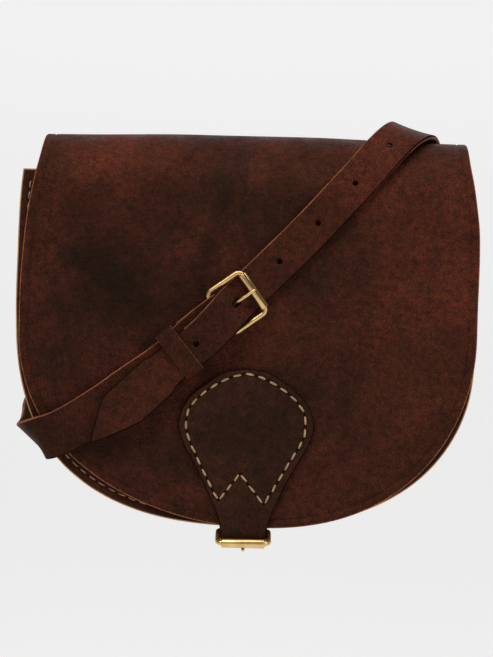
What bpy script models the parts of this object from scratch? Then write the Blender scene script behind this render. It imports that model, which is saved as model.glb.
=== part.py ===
"""Leather saddle bag with a folded-over flap, a closing tab and a buckled shoulder strap.

Working units are millimetres: x to the right, d forward from the back panel's outer
face, z up from the bottom of the bag. place_mm() turns them into metres in the row frame.
"""
import math

import bmesh
import bpy
from mathutils import Vector
from mathutils.geometry import delaunay_2d_cdt

# ---- driving dimensions, mm -------------------------------------------------------
ORIGIN_Z = 163.0          # height of the strap anchors, where the row origin sits
HALF_WIDTH = 121.6        # half the width of the body
ROUND_Z = 100.0           # the round bottom starts here
BOTTOM_Z = -2.3
PANEL_TOP_Z = 184.5
HINGE_Z = 190.0
LEATHER = 2.8
FRONT_D = 61.4            # outer face of the front panel
FLAP_D = 64.4             # middle of the flap's leather over the front
CREST_Z = 205.8
CREST_SAG = 1.6           # how much lower the crest is at its two ends
BODY_LEAN = -1.8          # how far the body's upper part leans to the left
FLAP_LEAN = 2.2           # how far the flap's upper part is shifted to the right
CREST_START_Z = 174.0
SEAM_INSET = 6.0
GUSSET_INSET = 9.0
TAB_D = 67.35             # middle of the closing tab's leather
TAB_LEATHER = 2.5
ROD = 1.4                 # radius of a buckle's wire
FRAME_ANGLE = math.radians(36.0)
STRAP_ANGLE = math.radians(45.5)
STRAP_LEATHER = 2.8
PRONG_HOLE = (-6.2, 116.0)
BUCKLE_HALF = 10.6        # from the prong hole to the heel bar, and to the roller
STRAP_HEEL_D, STRAP_ROLLER_D = 70.0, 71.6
CLOSURE_HEEL = (51.5, -5.6)
CLOSURE_ROLLER = (69.7, -10.3)
CLOSURE_X = 0.3

LEATHER_BROWN = (0.075, 0.028, 0.018)
THREAD_TAN = (0.62, 0.42, 0.22)
BRASS = (0.83, 0.66, 0.36)


def place_mm(x, d, z):
    return Vector((x, -d, z - ORIGIN_Z)) / 1000.0


def catmull(points, per_span):
    """A smooth curve through the points, each a tuple of numbers."""
    ends = [tuple(2 * a - b for a, b in zip(points[0], points[1]))]
    ends += list(points)
    ends += [tuple(2 * a - b for a, b in zip(points[-1], points[-2]))]
    out = []
    for p0, p1, p2, p3 in zip(ends, ends[1:], ends[2:], ends[3:]):
        for k in range(per_span):
            t = k / per_span
            out.append(tuple(
                0.5 * (2 * b + (c - a) * t + (2 * a - 5 * b + 4 * c - e) * t * t
                       + (3 * b - a - 3 * c + e) * t ** 3)
                for a, b, c, e in zip(p0, p1, p2, p3)))
    return out + [tuple(points[-1])]


class Path:
    """A line in space with the leather's outward normal at each point."""

    def __init__(self, keys, per_span=8):
        rows = catmull([tuple(k) for k in keys], per_span)
        self.points = [Vector(r[:3]) for r in rows]
        self.normals = [Vector(r[3:6]).normalized() for r in rows]
        self.lengths = [0.0]
        for a, b in zip(self.points, self.points[1:]):
            self.lengths.append(self.lengths[-1] + (b - a).length)
        self.length = self.lengths[-1]

    def at(self, s):
        """Point, normal and sideways direction at the distance s along the line."""
        s = min(max(s, 0.0), self.length)
        low, high = 0, len(self.lengths) - 2
        while low < high:
            mid = (low + high + 1) // 2
            if self.lengths[mid] <= s:
                low = mid
            else:
                high = mid - 1
        a, b = self.lengths[low], self.lengths[low + 1]
        t = (s - a) / max(b - a, 1e-9)
        point = self.points[low].lerp(self.points[low + 1], t)
        before = self.points[max(low - 1, 0)]
        after = self.points[min(low + 2, len(self.points) - 1)]
        along = (self.points[low + 1] - before).lerp(after - self.points[low], t).normalized()
        normal = self.normals[low].lerp(self.normals[low + 1], t)
        side = along.cross(normal).normalized()
        return point, side.cross(along).normalized(), side

    def nearest(self, x, z):
        """The distance along the line of its point nearest to (x, z), seen from the front."""
        best = min(range(len(self.points)),
                   key=lambda i: (self.points[i].x - x) ** 2 + (self.points[i].z - z) ** 2)
        return self.lengths[best]


def resample(line, step):
    """Points about a step apart on an open line, both ends kept."""
    lengths = [0.0]
    for a, b in zip(line, line[1:]):
        lengths.append(lengths[-1] + math.dist(a, b))
    count = max(1, round(lengths[-1] / step))
    out, i = [], 0
    for k in range(count + 1):
        goal = lengths[-1] * k / count
        while i < len(line) - 2 and lengths[i + 1] < goal:
            i += 1
        span = lengths[i + 1] - lengths[i]
        t = (goal - lengths[i]) / span if span else 0.0
        out.append(tuple(a + (b - a) * t for a, b in zip(line[i], line[i + 1])))
    return out


def outline_of(lines, step):
    """A closed loop from open lines that meet end to end, with one step or one for each line."""
    steps = step if isinstance(step, (list, tuple)) else [step] * len(lines)
    loop = []
    for line, one in zip(lines, steps):
        loop += resample(line, one)[:-1]
    return loop


def inside(loop, x, y):
    found = False
    for (xa, ya), (xb, yb) in zip(loop, loop[1:] + loop[:1]):
        if (ya > y) != (yb > y) and x < (xb - xa) * (y - ya) / (yb - ya) + xa:
            found = not found
    return found


def rows_between(low, high, step, dense):
    """Heights for inner points: a step apart, and closer inside the dense band."""
    rows, y = [], low + step / 2
    while y < high:
        rows.append(y)
        fine = dense and dense[0] - step / 2 < y < dense[1]
        y += dense[2] if fine else step
    return rows


def triangles_in(loop, holes, step_x, step_y, dense=None):
    """Triangles that fill a flat pattern, with inner points on a grid."""
    points, edges = [], []
    for ring in [loop] + holes:
        first = len(points)
        points += [Vector(p) for p in ring]
        edges += [(first + k, first + (k + 1) % len(ring)) for k in range(len(ring))]
    border = list(points)
    near = 0.45 * min(step_x, step_y, dense[2] if dense else step_y)
    xs, ys = [p[0] for p in loop], [p[1] for p in loop]
    for i in range(int((max(xs) - min(xs)) / step_x) + 1):
        for y in rows_between(min(ys), max(ys), step_y, dense):
            x = min(xs) + (i + 0.5) * step_x
            if not inside(loop, x, y) or any(inside(h, x, y) for h in holes):
                continue
            if all((p.x - x) ** 2 + (p.y - y) ** 2 > near * near for p in border):
                points.append(Vector((x, y)))
    made = delaunay_2d_cdt(points, edges, [], 1, 1e-5)
    flat, faces = made[0], made[2]
    kept = []
    for face in faces:
        cx = sum(flat[i].x for i in face) / len(face)
        cy = sum(flat[i].y for i in face) / len(face)
        if inside(loop, cx, cy) and not any(inside(h, cx, cy) for h in holes):
            kept.append(tuple(face))
    return flat, kept


def material(name, colour, roughness, metallic):
    made = bpy.data.materials.new(name)
    made.use_nodes = True
    shader = made.node_tree.nodes["Principled BSDF"]
    shader.inputs["Base Color"].default_value = (*colour, 1.0)
    shader.inputs["Roughness"].default_value = roughness
    shader.inputs["Metallic"].default_value = metallic
    return made


def finish(name, points, faces, look, origin=None):
    """One closed object from points in mm, its faces outward and its origin on its joint."""
    volume = 0.0
    for face in faces:
        for k in range(1, len(face) - 1):
            volume += points[face[0]].dot(points[face[k]].cross(points[face[k + 1]]))
    # the forward axis points against +Y, which turns every face round once
    if volume > 0:
        faces = [tuple(reversed(f)) for f in faces]
    at = place_mm(*origin) if origin else Vector((0.0, 0.0, 0.0))
    mesh = bpy.data.meshes.new(name)
    mesh.from_pydata([place_mm(*p) - at for p in points], [], faces)
    mesh.materials.append(look)
    made = bpy.data.objects.new(name, mesh)
    made.location = at
    bpy.context.scene.collection.objects.link(made)
    return made


def sheet(name, pattern, surface, thickness, step, look, holes=()):
    """Leather of a given thickness, cut to a flat pattern and laid on a surface."""
    flat, triangles = triangles_in(pattern, list(holes), *step)
    points = []
    for side in (0.5, -0.5):
        for q in flat:
            point, normal = surface(q.x, q.y)
            t = thickness(q.y) if callable(thickness) else thickness
            points.append(point + normal * side * t)
    n = len(flat)
    faces = list(triangles) + [tuple(n + i for i in reversed(f)) for f in triangles]
    used = {(f[k], f[(k + 1) % len(f)]) for f in triangles for k in range(len(f))}
    faces += [(b, a, n + a, n + b) for a, b in used if (b, a) not in used]
    return finish(name, points, faces, look)


def tube(name, centres, radius, sides, look, origin=None, closed=False):
    """A rod of round section along a line."""
    points, faces, count = [], [], len(centres)
    up = None
    for i, c in enumerate(centres):
        if closed:
            along = centres[(i + 1) % count] - centres[i - 1]
        else:
            along = centres[min(i + 1, count - 1)] - centres[max(i - 1, 0)]
        along = along.normalized()
        if up is None:
            up = Vector((0, 0, 1)) if abs(along.z) < 0.8 else Vector((0, 1, 0))
        right = along.cross(up).normalized()
        up = right.cross(along).normalized()
        for k in range(sides):
            a = 2 * math.pi * k / sides
            points.append(c + radius * (math.cos(a) * right + math.sin(a) * up))
    for i in range(count if closed else count - 1):
        for k in range(sides):
            a, b = i * sides, (i + 1) % count * sides
            faces.append((a + k, a + (k + 1) % sides, b + (k + 1) % sides, b + k))
    if not closed:
        faces.append(tuple(reversed(range(sides))))
        faces.append(tuple((count - 1) * sides + k for k in range(sides)))
    return finish(name, points, faces, look, origin)


def sweep(name, sections, look):
    """A solid through closed sections that all have the same number of points."""
    points = [p for section in sections for p in section]
    m, faces = len(sections[0]), []
    for i in range(len(sections) - 1):
        for k in range(m):
            a, b = i * m, (i + 1) * m
            faces.append((a + k, a + (k + 1) % m, b + (k + 1) % m, b + k))
    faces.append(tuple(reversed(range(m))))
    faces.append(tuple((len(sections) - 1) * m + k for k in range(m)))
    return finish(name, points, faces, look)


# ---- the body's outline and front face -------------------------------------------
def body_half(z):
    """Half the body's width at a height."""
    if z >= ROUND_Z:
        return HALF_WIDTH - 3.4 * max(0.0, (z - 118.0) / 68.0) ** 2
    t = min((ROUND_Z - z) / (ROUND_Z - BOTTOM_Z), 1.0)
    return HALF_WIDTH * (1.0 - t ** 2.4) ** (1 / 2.4)


def ease(t):
    t = min(max(t, 0.0), 1.0)
    return t * t * (3.0 - 2.0 * t)


def lean(z):
    """How far the body is shifted sideways at a height."""
    return BODY_LEAN * ease((z - 60.0) / 60.0) - 1.3 * ease((z - 130.0) / 50.0)


def body_line(top):
    """The body's edge from the left top, round the bottom, to the right top."""
    right = []
    for k in range(33):
        a = math.pi / 2 * (1 - k / 32)
        right.append((HALF_WIDTH * math.cos(a) ** (2 / 2.4),
                      ROUND_Z - (ROUND_Z - BOTTOM_Z) * math.sin(a) ** (2 / 2.4)))
    right += [(body_half(z), z) for z in
              (ROUND_Z + (top - ROUND_Z) * k / 8 for k in range(1, 9))]
    line = [(-x, z) for x, z in reversed(right)] + right[1:]
    return [(x + lean(z), z) for x, z in line]


def front_d(z):
    """The front panel's outer face: it leans back a little towards its top."""
    return FRONT_D - 2.2 * max(0.0, (z - 120.0) / 66.0) ** 2


def inset(line, distance):
    """The line moved towards the inside of the D."""
    out = []
    for i, p in enumerate(line):
        a, b = line[max(i - 1, 0)], line[min(i + 1, len(line) - 1)]
        tx, tz = b[0] - a[0], b[1] - a[1]
        size = math.hypot(tx, tz)
        out.append((p[0] - tz / size * distance, p[1] + tx / size * distance))
    return out


def body_pieces(leather, thread):
    back_edge = body_line(178.0)
    shoulder = catmull([(110.0, HINGE_Z - 0.35), (113.0, 188.0), (115.9, 185.0), (117.9, 181.6),
                        (body_half(178.0), 178.0)], 4)
    right, left = ([(side * x + lean(178.0) * (HINGE_Z - 0.35 - z) / 11.65, z)
                    for x, z in shoulder] for side in (1, -1))
    back = outline_of([back_edge, right[::-1], [right[0], left[0]], left], 9.0)
    sheet("back_panel", back, lambda x, z: (Vector((x, LEATHER / 2, z)), Vector((0, -1, 0))),
          LEATHER, (24.0, 24.0), leather)

    edge = body_line(PANEL_TOP_Z)
    front = outline_of([edge, [edge[-1], edge[0]]], 8.0)

    def front_surface(x, z):
        return Vector((x, front_d(z) - LEATHER / 2, z)), Vector((0, 1, 0))
    sheet("front_panel", front, front_surface, LEATHER, (24.0, 12.0), leather)

    sections = []
    line = resample(edge, 9.0)
    outer, wall, inner = inset(line, 0.8), inset(line, GUSSET_INSET), inset(line, GUSSET_INSET + 2.0)
    for o, w, i in zip(outer, wall, inner):
        f = front_d(o[1]) - LEATHER - 0.3
        sections.append([Vector(p) for p in (
            (o[0], f, o[1]), (i[0], f, i[1]), (i[0], 3.1, i[1]), (o[0], 3.1, o[1]),
            (o[0], 5.1, o[1]), (w[0], 5.1, w[1]), (w[0], f - 2.0, w[1]), (o[0], f - 2.0, o[1]))])
    sweep("gusset", sections, leather)

    seam = resample(inset(edge, SEAM_INSET), 8.0)[1:-1]
    tube("front_seam_thread", [Vector((x, front_d(z) + 0.75, z)) for x, z in seam],
         0.45, 5, thread)
    tube("back_seam_thread", [Vector((x, -0.75, z)) for x, z in
                              resample(inset(back_edge, SEAM_INSET), 8.0)], 0.45, 5, thread)


# ---- the flap --------------------------------------------------------------------
def flap_keys():
    """Middle of the flap's leather, from the hinge over the crest and down the front."""
    keys, mid, half = [], (1.4 + FLAP_D) / 2, (FLAP_D - 1.4) / 2
    for k in range(7):
        a = math.pi / 2 * k / 6
        d, z = mid - half * math.cos(a), HINGE_Z + 0.15 + (CREST_Z - HINGE_Z - 0.15) * math.sin(a)
        keys.append((0, d, z, 0, -math.cos(a) * (CREST_Z - HINGE_Z), math.sin(a) * half))
    for k in range(1, 9):
        a = math.pi / 2 * (1 - k / 8)
        rise = CREST_Z - CREST_START_Z
        keys.append((0, mid + half * math.cos(a), CREST_START_Z + rise * math.sin(a),
                     0, math.cos(a) * rise, math.sin(a) * half))
    keys.append((0, FLAP_D, 130.0, 0, 1, 0))
    keys.append((0, FLAP_D, 60.0, 0, 1, 0))
    keys.append((0, FLAP_D, -20.0, 0, 1, 0))
    return keys


FLAP = Path(flap_keys(), 6)
FLAP_FRONT_V = FLAP.nearest(0, CREST_START_Z)


def flap_surface(x, v):
    point, normal, _ = FLAP.at(v)
    sag = CREST_SAG * ease((abs(x) - 30.0) / 90.0) * ease((v - 2.0) / 30.0)
    sag *= ease((point.z - 150.0) / 50.0) if v > 45.0 else 1.0
    return (Vector((x, point.y, point.z - sag)),
            Vector((0, normal.y, normal.z)).normalized())


def flap_outline(step):
    """The flap cut flat: x across, v from the hinge line along the leather."""
    straight = FLAP_FRONT_V + CREST_START_Z
    upper = [(110.0, 0), (110.6, 22), (111.6, 42), (112.3, 60), (113.3, 70), (114.8, 78),
             (117.3, 91), (119.4, 104), (120.5, 118), (121.0, 135), (121.0, straight - ROUND_Z)]
    right = catmull(upper, 4)
    lower = []
    for k in range(1, 32):
        a = math.pi / 2 * k / 32
        t = math.sin(a) ** (2 / 2.1)
        lower.append((121.0 * math.cos(a) ** (2 / 2.1), t))
    across = [(x + 9.5 * t ** 3, straight - ROUND_Z + 102.6 * t) for x, t in lower]
    back = [(-x + 9.5 * t ** 3, straight - ROUND_Z + 102.6 * t) for x, t in reversed(lower)]
    round_edge = [right[-1]] + across + [(9.5, straight + 2.6)] + back + [(-121.0, right[-1][1])]
    left = [(-x, v) for x, v in reversed(right)]
    loop = outline_of([right, round_edge, left, [(-110.0, 0), (110.0, 0)]], step)
    loop = [(x + FLAP_LEAN * ease(v / 40.0) * ease((150.0 - v) / 75.0), v) for x, v in loop]
    loop = [(x - (x < 0) * 2.0 * ease(v / 24.0) * ease((125.0 - v) / 60.0), v) for x, v in loop]
    return [(x + (x > 0) * 1.6 * ease(v / 24.0) * ease((95.0 - v) / 50.0), v) for x, v in loop]


# ---- the closing tab -------------------------------------------------------------
TAB_SHAPE = [(0.0, 81.7), (11.5, 79.6), (21.3, 73.5), (29.5, 66.8), (34.4, 58.5), (35.8, 50.5),
             (33.2, 41.5), (29.3, 34.5), (25.6, 28.0), (21.9, 21.0), (18.2, 13.0), (14.6, 5.0),
             (12.4, -2.0), (11.3, -8.0), (11.2, -14.0)]
TAB_STITCH = [(0.3, 78.8), (-9.8, 75.9), (-21.6, 68.8), (-29.6, 60.0), (-31.3, 51.0),
              (-29.6, 44.0), (-24.3, 32.4), (-17.8, 19.8), (-13.3, 11.6)]
TAB_STITCH_RIGHT = [(0.3, 78.8), (10.2, 75.9), (22.0, 68.8), (30.0, 60.0), (31.5, 51.0),
                    (29.8, 43.5), (22.6, 31.0), (15.6, 18.5), (10.5, 10.1)]
TAB_PEAK = (-2.2, 26.2)


def tab_path():
    """Down the flap, then round under the bag to the closing buckle."""
    keys = [(0, TAB_D, z, 0, 1, 0) for z in (90.0, 60.0, 30.0, 4.0, -1.0)]
    for degrees in (0, 20, 40, 60, 80, 95):
        a = math.radians(degrees)
        keys.append((0, TAB_D - 8 + 8 * math.cos(a), -4 - 8 * math.sin(a),
                     0, math.cos(a), -math.sin(a)))
    for back in (14.0, 28.0, 40.0):
        keys.append((0, 58.65 - back, -11.97 + 0.0872 * back, 0, -0.0872, -0.996))
    return Path(keys, 5)


TAB = tab_path()
TAB_SLOT_V = TAB.lengths[min(range(len(TAB.points)), key=lambda i: (
    (TAB.points[i].y - 62.9) ** 2 + (TAB.points[i].z + 11.1) ** 2))]


def slot(cx, cy, half_x, half_y):
    """An eight-sided slot in a flat pattern."""
    s = 0.42
    return [(cx + half_x, cy - half_y * s), (cx + half_x, cy + half_y * s),
            (cx + half_x * s, cy + half_y), (cx - half_x * s, cy + half_y),
            (cx - half_x, cy + half_y * s), (cx - half_x, cy - half_y * s),
            (cx - half_x * s, cy - half_y), (cx + half_x * s, cy - half_y)]


def tab_outline(step):
    half = catmull(TAB_SHAPE, 4)
    right = [(x, 90.0 - z) for x, z in half]
    end = TAB.length - 1.0
    tip = [(11.2, 104.0), (11.2, end - 9.0), (6.5, end - 2.0), (0.0, end)]
    right = right[:-1] + tip
    left = [(-x, v) for x, v in reversed(right)]
    loop = outline_of([right, left], step)
    return [(x + CLOSURE_X, v) for x, v in loop]


def tab_surface(x, v):
    point, normal, _ = TAB.at(v)
    return Vector((x, point.y, point.z)), Vector((0, normal.y, normal.z)).normalized()


def tab_stitch_line():
    """The stitch line: round the teardrop, and an inverted V between its lower corners."""
    left = catmull(TAB_STITCH, 4)
    right = catmull(TAB_STITCH_RIGHT, 4)
    return ([(TAB_PEAK[0] - 1.0, TAB_PEAK[1])] + list(reversed(left)) + right[1:]
            + [(TAB_PEAK[0] + 1.0, TAB_PEAK[1])])


def flap_pieces(leather, thread):
    sheet("flap", flap_outline(8.0), flap_surface, LEATHER, (17.0, 6.5), leather)
    sheet("closure_tab", tab_outline(5.0), tab_surface, TAB_LEATHER, (8.0, 4.5), leather,
          [slot(CLOSURE_X, TAB_SLOT_V + 1.6, 1.6, 4.6)])
    line = tab_stitch_line()
    centres = [Vector((x, TAB_D + TAB_LEATHER / 2 + 0.7, z)) for x, z in resample(line, 4.0)]
    tube("closure_tab_thread", centres, 0.4, 5, thread)


# ---- buckles ---------------------------------------------------------------------
def buckle(prefix, heel, roller, wire_half, roller_length, roller_radius, prong_out, brass):
    """A roller buckle: wire frame, rolled sleeve on its far bar, and a prong on its near bar.

    prong_out is the direction from the frame's plane towards the prong's free side.
    """
    along = (roller - heel).normalized()
    out = (prong_out - along * prong_out.dot(along)).normalized()
    side = along.cross(out).normalized()
    corner, reach = 3.0, (roller - heel).length
    centres = []
    for sx, sy in ((1, 1), (1, -1), (-1, -1), (-1, 1)):
        cx = reach / 2 + sx * (reach / 2 - corner)
        cy = sy * (wire_half - corner)
        start = {(1, 1): 90, (1, -1): 0, (-1, -1): -90, (-1, 1): 180}[(sx, sy)]
        for k in range(5):
            a = math.radians(start - 22.5 * k)
            centres.append(heel + along * (cx + corner * math.cos(a))
                           + side * (cy + corner * math.sin(a)))
    tube(prefix + "_frame", centres, ROD, 10, brass, tuple(heel), closed=True)

    outer, inner, sides = roller_radius, ROD + 0.35, 14
    points, faces = [], []
    for end in (-0.5, 0.5):
        for radius in (outer, inner):
            for k in range(sides):
                a = 2 * math.pi * k / sides
                points.append(roller + side * end * roller_length
                              + radius * (math.cos(a) * along + math.sin(a) * out))
    for k in range(sides):
        n = (k + 1) % sides
        faces += [(k, n, 2 * sides + n, 2 * sides + k),
                  (sides + n, sides + k, 3 * sides + k, 3 * sides + n),
                  (n, k, sides + k, sides + n),
                  (2 * sides + k, 2 * sides + n, 3 * sides + n, 3 * sides + k)]
    finish(prefix + "_roller", points, faces, brass, tuple(roller))

    ring, radius = ROD + 0.3 + 0.85, 0.85
    tip = roller + out * (roller_radius + radius + 0.2) + along * 1.6
    centres = []
    for degrees in range(-200, 61, 20):
        a = math.radians(degrees)
        centres.append(heel + ring * (math.sin(a) * along + math.cos(a) * out))
    start = centres[-1]
    bend = heel + along * (reach * 0.55) + out * ((tip - heel).dot(out) * 0.86 + 0.2)
    line = catmull([tuple(start), tuple(bend), tuple(tip - along * 3.0 + out * 0.1), tuple(tip)], 4)
    centres += [Vector(p) for p in line[1:]]
    tube(prefix + "_prong", centres, radius, 7, brass, tuple(heel))


def buckle_pieces(brass):
    u = Vector((math.cos(FRAME_ANGLE), 0, math.sin(FRAME_ANGLE)))
    hole = Vector((PRONG_HOLE[0], 0, PRONG_HOLE[1]))
    heel = hole - u * BUCKLE_HALF + Vector((0, STRAP_HEEL_D, 0))
    roller = hole + u * BUCKLE_HALF + Vector((0, STRAP_ROLLER_D, 0))
    buckle("strap_buckle", heel, roller, 12.8, 21.4, 2.3, Vector((0, 1, 0)), brass)
    heel = Vector((CLOSURE_X, *CLOSURE_HEEL))
    roller = Vector((CLOSURE_X, *CLOSURE_ROLLER))
    buckle("closure_buckle", heel, roller, 13.4, 22.6, 2.45, Vector((0, 0, -1)), brass)


# ---- the closing buckle's chape ----------------------------------------------------
def chape_path():
    """Along the gusset's bottom, down round the heel bar and back again."""
    hd, hz = CLOSURE_HEEL
    keys = [(12, 5.4, 0, 1), (22, 5.4, 0, 1), (30, 5.2, 0.1, 1), (35.5, 3.9, 0.4, 1),
            (41, 0.8, 0.6, 1), (46, -1.7, 0.35, 1)]
    for degrees in (-20, 20, 60, 90, 120, 160, 190):
        a = math.radians(degrees)
        keys.append((hd + 2.7 * math.sin(a), hz + 2.7 * math.cos(a), math.sin(a), math.cos(a)))
    keys += [(46.3, -6.1, -0.45, -1), (41, -2.9, -0.6, -1), (35, 0.8, -0.4, -1),
             (29.5, 2.6, -0.1, -1), (22, 2.9, 0, -1), (15, 2.9, 0, -1)]
    return Path([(0, d, z, 0, nd, nz) for d, z, nd, nz in keys], 4)


def chape_pieces(leather, thread):
    path = chape_path()
    hd, hz = CLOSURE_HEEL
    ring = [s for s, p in zip(path.lengths, path.points)
            if (p.y - hd) ** 2 + (p.z - hz) ** 2 < 16.0]
    half = 10.6
    low, high = ring[0] - 3.0, ring[-1] + 5.5
    up = [[(half, a), (half, b)] for a, b in ((0, low), (low, high), (high, path.length))]
    down = [[(-half, b), (-half, a)] for a, b in ((high, path.length), (low, high), (0, low))]
    loop = outline_of(up + [[(half, path.length), (-half, path.length)]] + down
                      + [[(-half, 0), (half, 0)]], [3.0, 0.9, 3.0, 4.0, 3.0, 0.9, 3.0, 4.0])
    hole = outline_of([[(2.0, low), (2.0, high)], [(2.0, high), (-2.0, high)],
                       [(-2.0, high), (-2.0, low)], [(-2.0, low), (2.0, low)]], [0.9, 4.0] * 2)

    def surface(x, s):
        point, normal, _ = path.at(s)
        return Vector((x + CLOSURE_X, point.y, point.z)), normal
    sheet("closure_chape", loop, surface, 2.0, (7.0, 3.0, (low, high, 0.9)), leather, [hole])
    x, low = 8.2, 0.9
    line = [(-x, 29.0), (-x, 17.5), (x, 17.5), (x, 29.0)]
    centres = [Vector((a + CLOSURE_X, b, low)) for a, b in line]
    tube("closure_chape_thread", centres, 0.4, 6, thread)


# ---- the shoulder strap --------------------------------------------------------------
def frame_point(k, d, tilt=0.0):
    """A point k mm from the heel bar, away from the roller, on the buckle's own line."""
    a = FRAME_ANGLE + math.radians(tilt)
    x = PRONG_HOLE[0] - BUCKLE_HALF * math.cos(FRAME_ANGLE) - k * math.cos(a)
    z = PRONG_HOLE[1] - BUCKLE_HALF * math.sin(FRAME_ANGLE) - k * math.sin(a)
    return x, d, z


def left_strap_path():
    """From the anchor, down behind the bag, round its lower left and up to the buckle."""
    keys = [(-103.5, -2.9, 177, 0, -1, 0), (-103.2, -2.9, 163, 0, -1, 0),
            (-102.6, -2.9, 150, 0, -1, 0), (-101.5, -2.9, 128, 0, -1, 0),
            (-101.0, -2.9, 105, 0, -1, 0), (-102.5, -2.9, 86, 0, -1, 0),
            (-106.3, -3.1, 71, 0, -1, 0), (-111.0, -3.2, 61, -0.25, -1, -0.1),
            (-115.8, -1.1, 53.8, -0.75, -0.55, -0.4), (-116.6, 5.5, 49.2, -0.77, -0.1, -0.63),
            (-115.2, 16, 45.2, -0.72, 0, -0.69), (-113.4, 34, 42.8, -0.68, 0, -0.73),
            (-113.0, 50, 41.5, -0.66, 0.05, -0.75), (-111.2, 61.8, 41.4, -0.57, 0.5, -0.65),
            (-106.4, 67.3, 42.2, -0.29, 1, -0.26), (-98.3, 68.5, 45.0, 0, 1, -0.03),
            (-86.4, 69.2, 51.7, 0, 1, 0), (-68.8, 69.7, 63.6, 0, 1, 0),
            (-53.0, 69.7, 76.4, 0, 1, 0), (-36.9, 69.6, 89.8, 0, 1, 0),
            (-29.0, 69.75, 98.0, 0, 1, 0)]
    for k, d, n in ((9.5, 70.2, 0.06), (5.0, 71.8, 0.35)):
        keys.append((*frame_point(k, d, 2.0), -n * math.cos(FRAME_ANGLE), 1,
                     -n * math.sin(FRAME_ANGLE)))
    for degrees in (-15, 20, 55, 90, 125, 155, 180):
        a = math.radians(degrees)
        x, d, z = frame_point(-2.7 * math.sin(a), STRAP_HEEL_D + 2.7 * math.cos(a))
        keys.append((x, d, z, math.sin(a) * math.cos(FRAME_ANGLE), math.cos(a),
                     math.sin(a) * math.sin(FRAME_ANGLE)))
    for k in (3.0, 6.0, 13.0, 21.5):
        keys.append((*frame_point(k, 67.15, 2.0), 0, -1, 0))
    return Path(keys, 5)


def right_strap_path():
    """From the pointed end, through the buckle, over the flap's crest to the anchor."""
    ux, uz = math.cos(STRAP_ANGLE), math.sin(STRAP_ANGLE)
    keys = []
    for a, d, n, shift in (
            (-106.0, 73.1, 0, 0.2), (-85, 73.1, 0, 1.5), (-62, 73.1, 0, 0.9),
            (-46, 73.1, 0, 0.4), (-38, 73.1, 0, -0.2), (-26, 73.6, 0.06, -1.3),
            (-17, 75.0, 0.08, -1.3), (-10, 75.7, -0.02, -0.9), (-5.5, 75.2, -0.25, -0.4),
            (-1.5, 72.6, -0.8, 0), (1.8, 69.6, -0.75, 0), (5.5, 67.8, -0.2, 0),
            (10, 67.55, 0, 0), (24, 67.55, 0, 0), (44, 67.55, 0, 0), (62, 67.55, 0, 0.5),
            (80, 67.6, 0.04, 1.5)):
        x = PRONG_HOLE[0] + a * ux - shift * uz
        z = PRONG_HOLE[1] + a * uz + shift * ux
        keys.append((x, d, z, -n * ux, 1, -n * uz))
    keys += [(58.2, 66.7, 184.6, 0.03, 1, 0.16), (67.0, 64.2, 195.2, 0.1, 1, 0.32),
             (74.8, 58.6, 203.8, 0.22, 0.9, 0.62), (81.6, 49.5, 209.5, 0.32, 0.55, 0.85),
             (86.8, 38, 211.3, 0.3, 0.08, 0.95), (90.8, 24, 209.8, 0.18, -0.35, 0.92),
             (94.8, 9.5, 204.4, 0.08, -0.75, 0.75), (97.4, -0.6, 195.6, 0, -1, 0.4),
             (99.6, -2.9, 184.5, 0, -1, 0.05),
             (101.8, -2.9, 170, 0, -1, 0), (103.2, -2.9, 158, 0, -1, 0),
             (103.8, -2.9, 147, 0, -1, 0)]
    return Path(keys, 5)


def strap_surface(path):
    def surface(w, s):
        point, normal, side = path.at(s)
        return point + side * w, normal
    return surface


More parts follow.
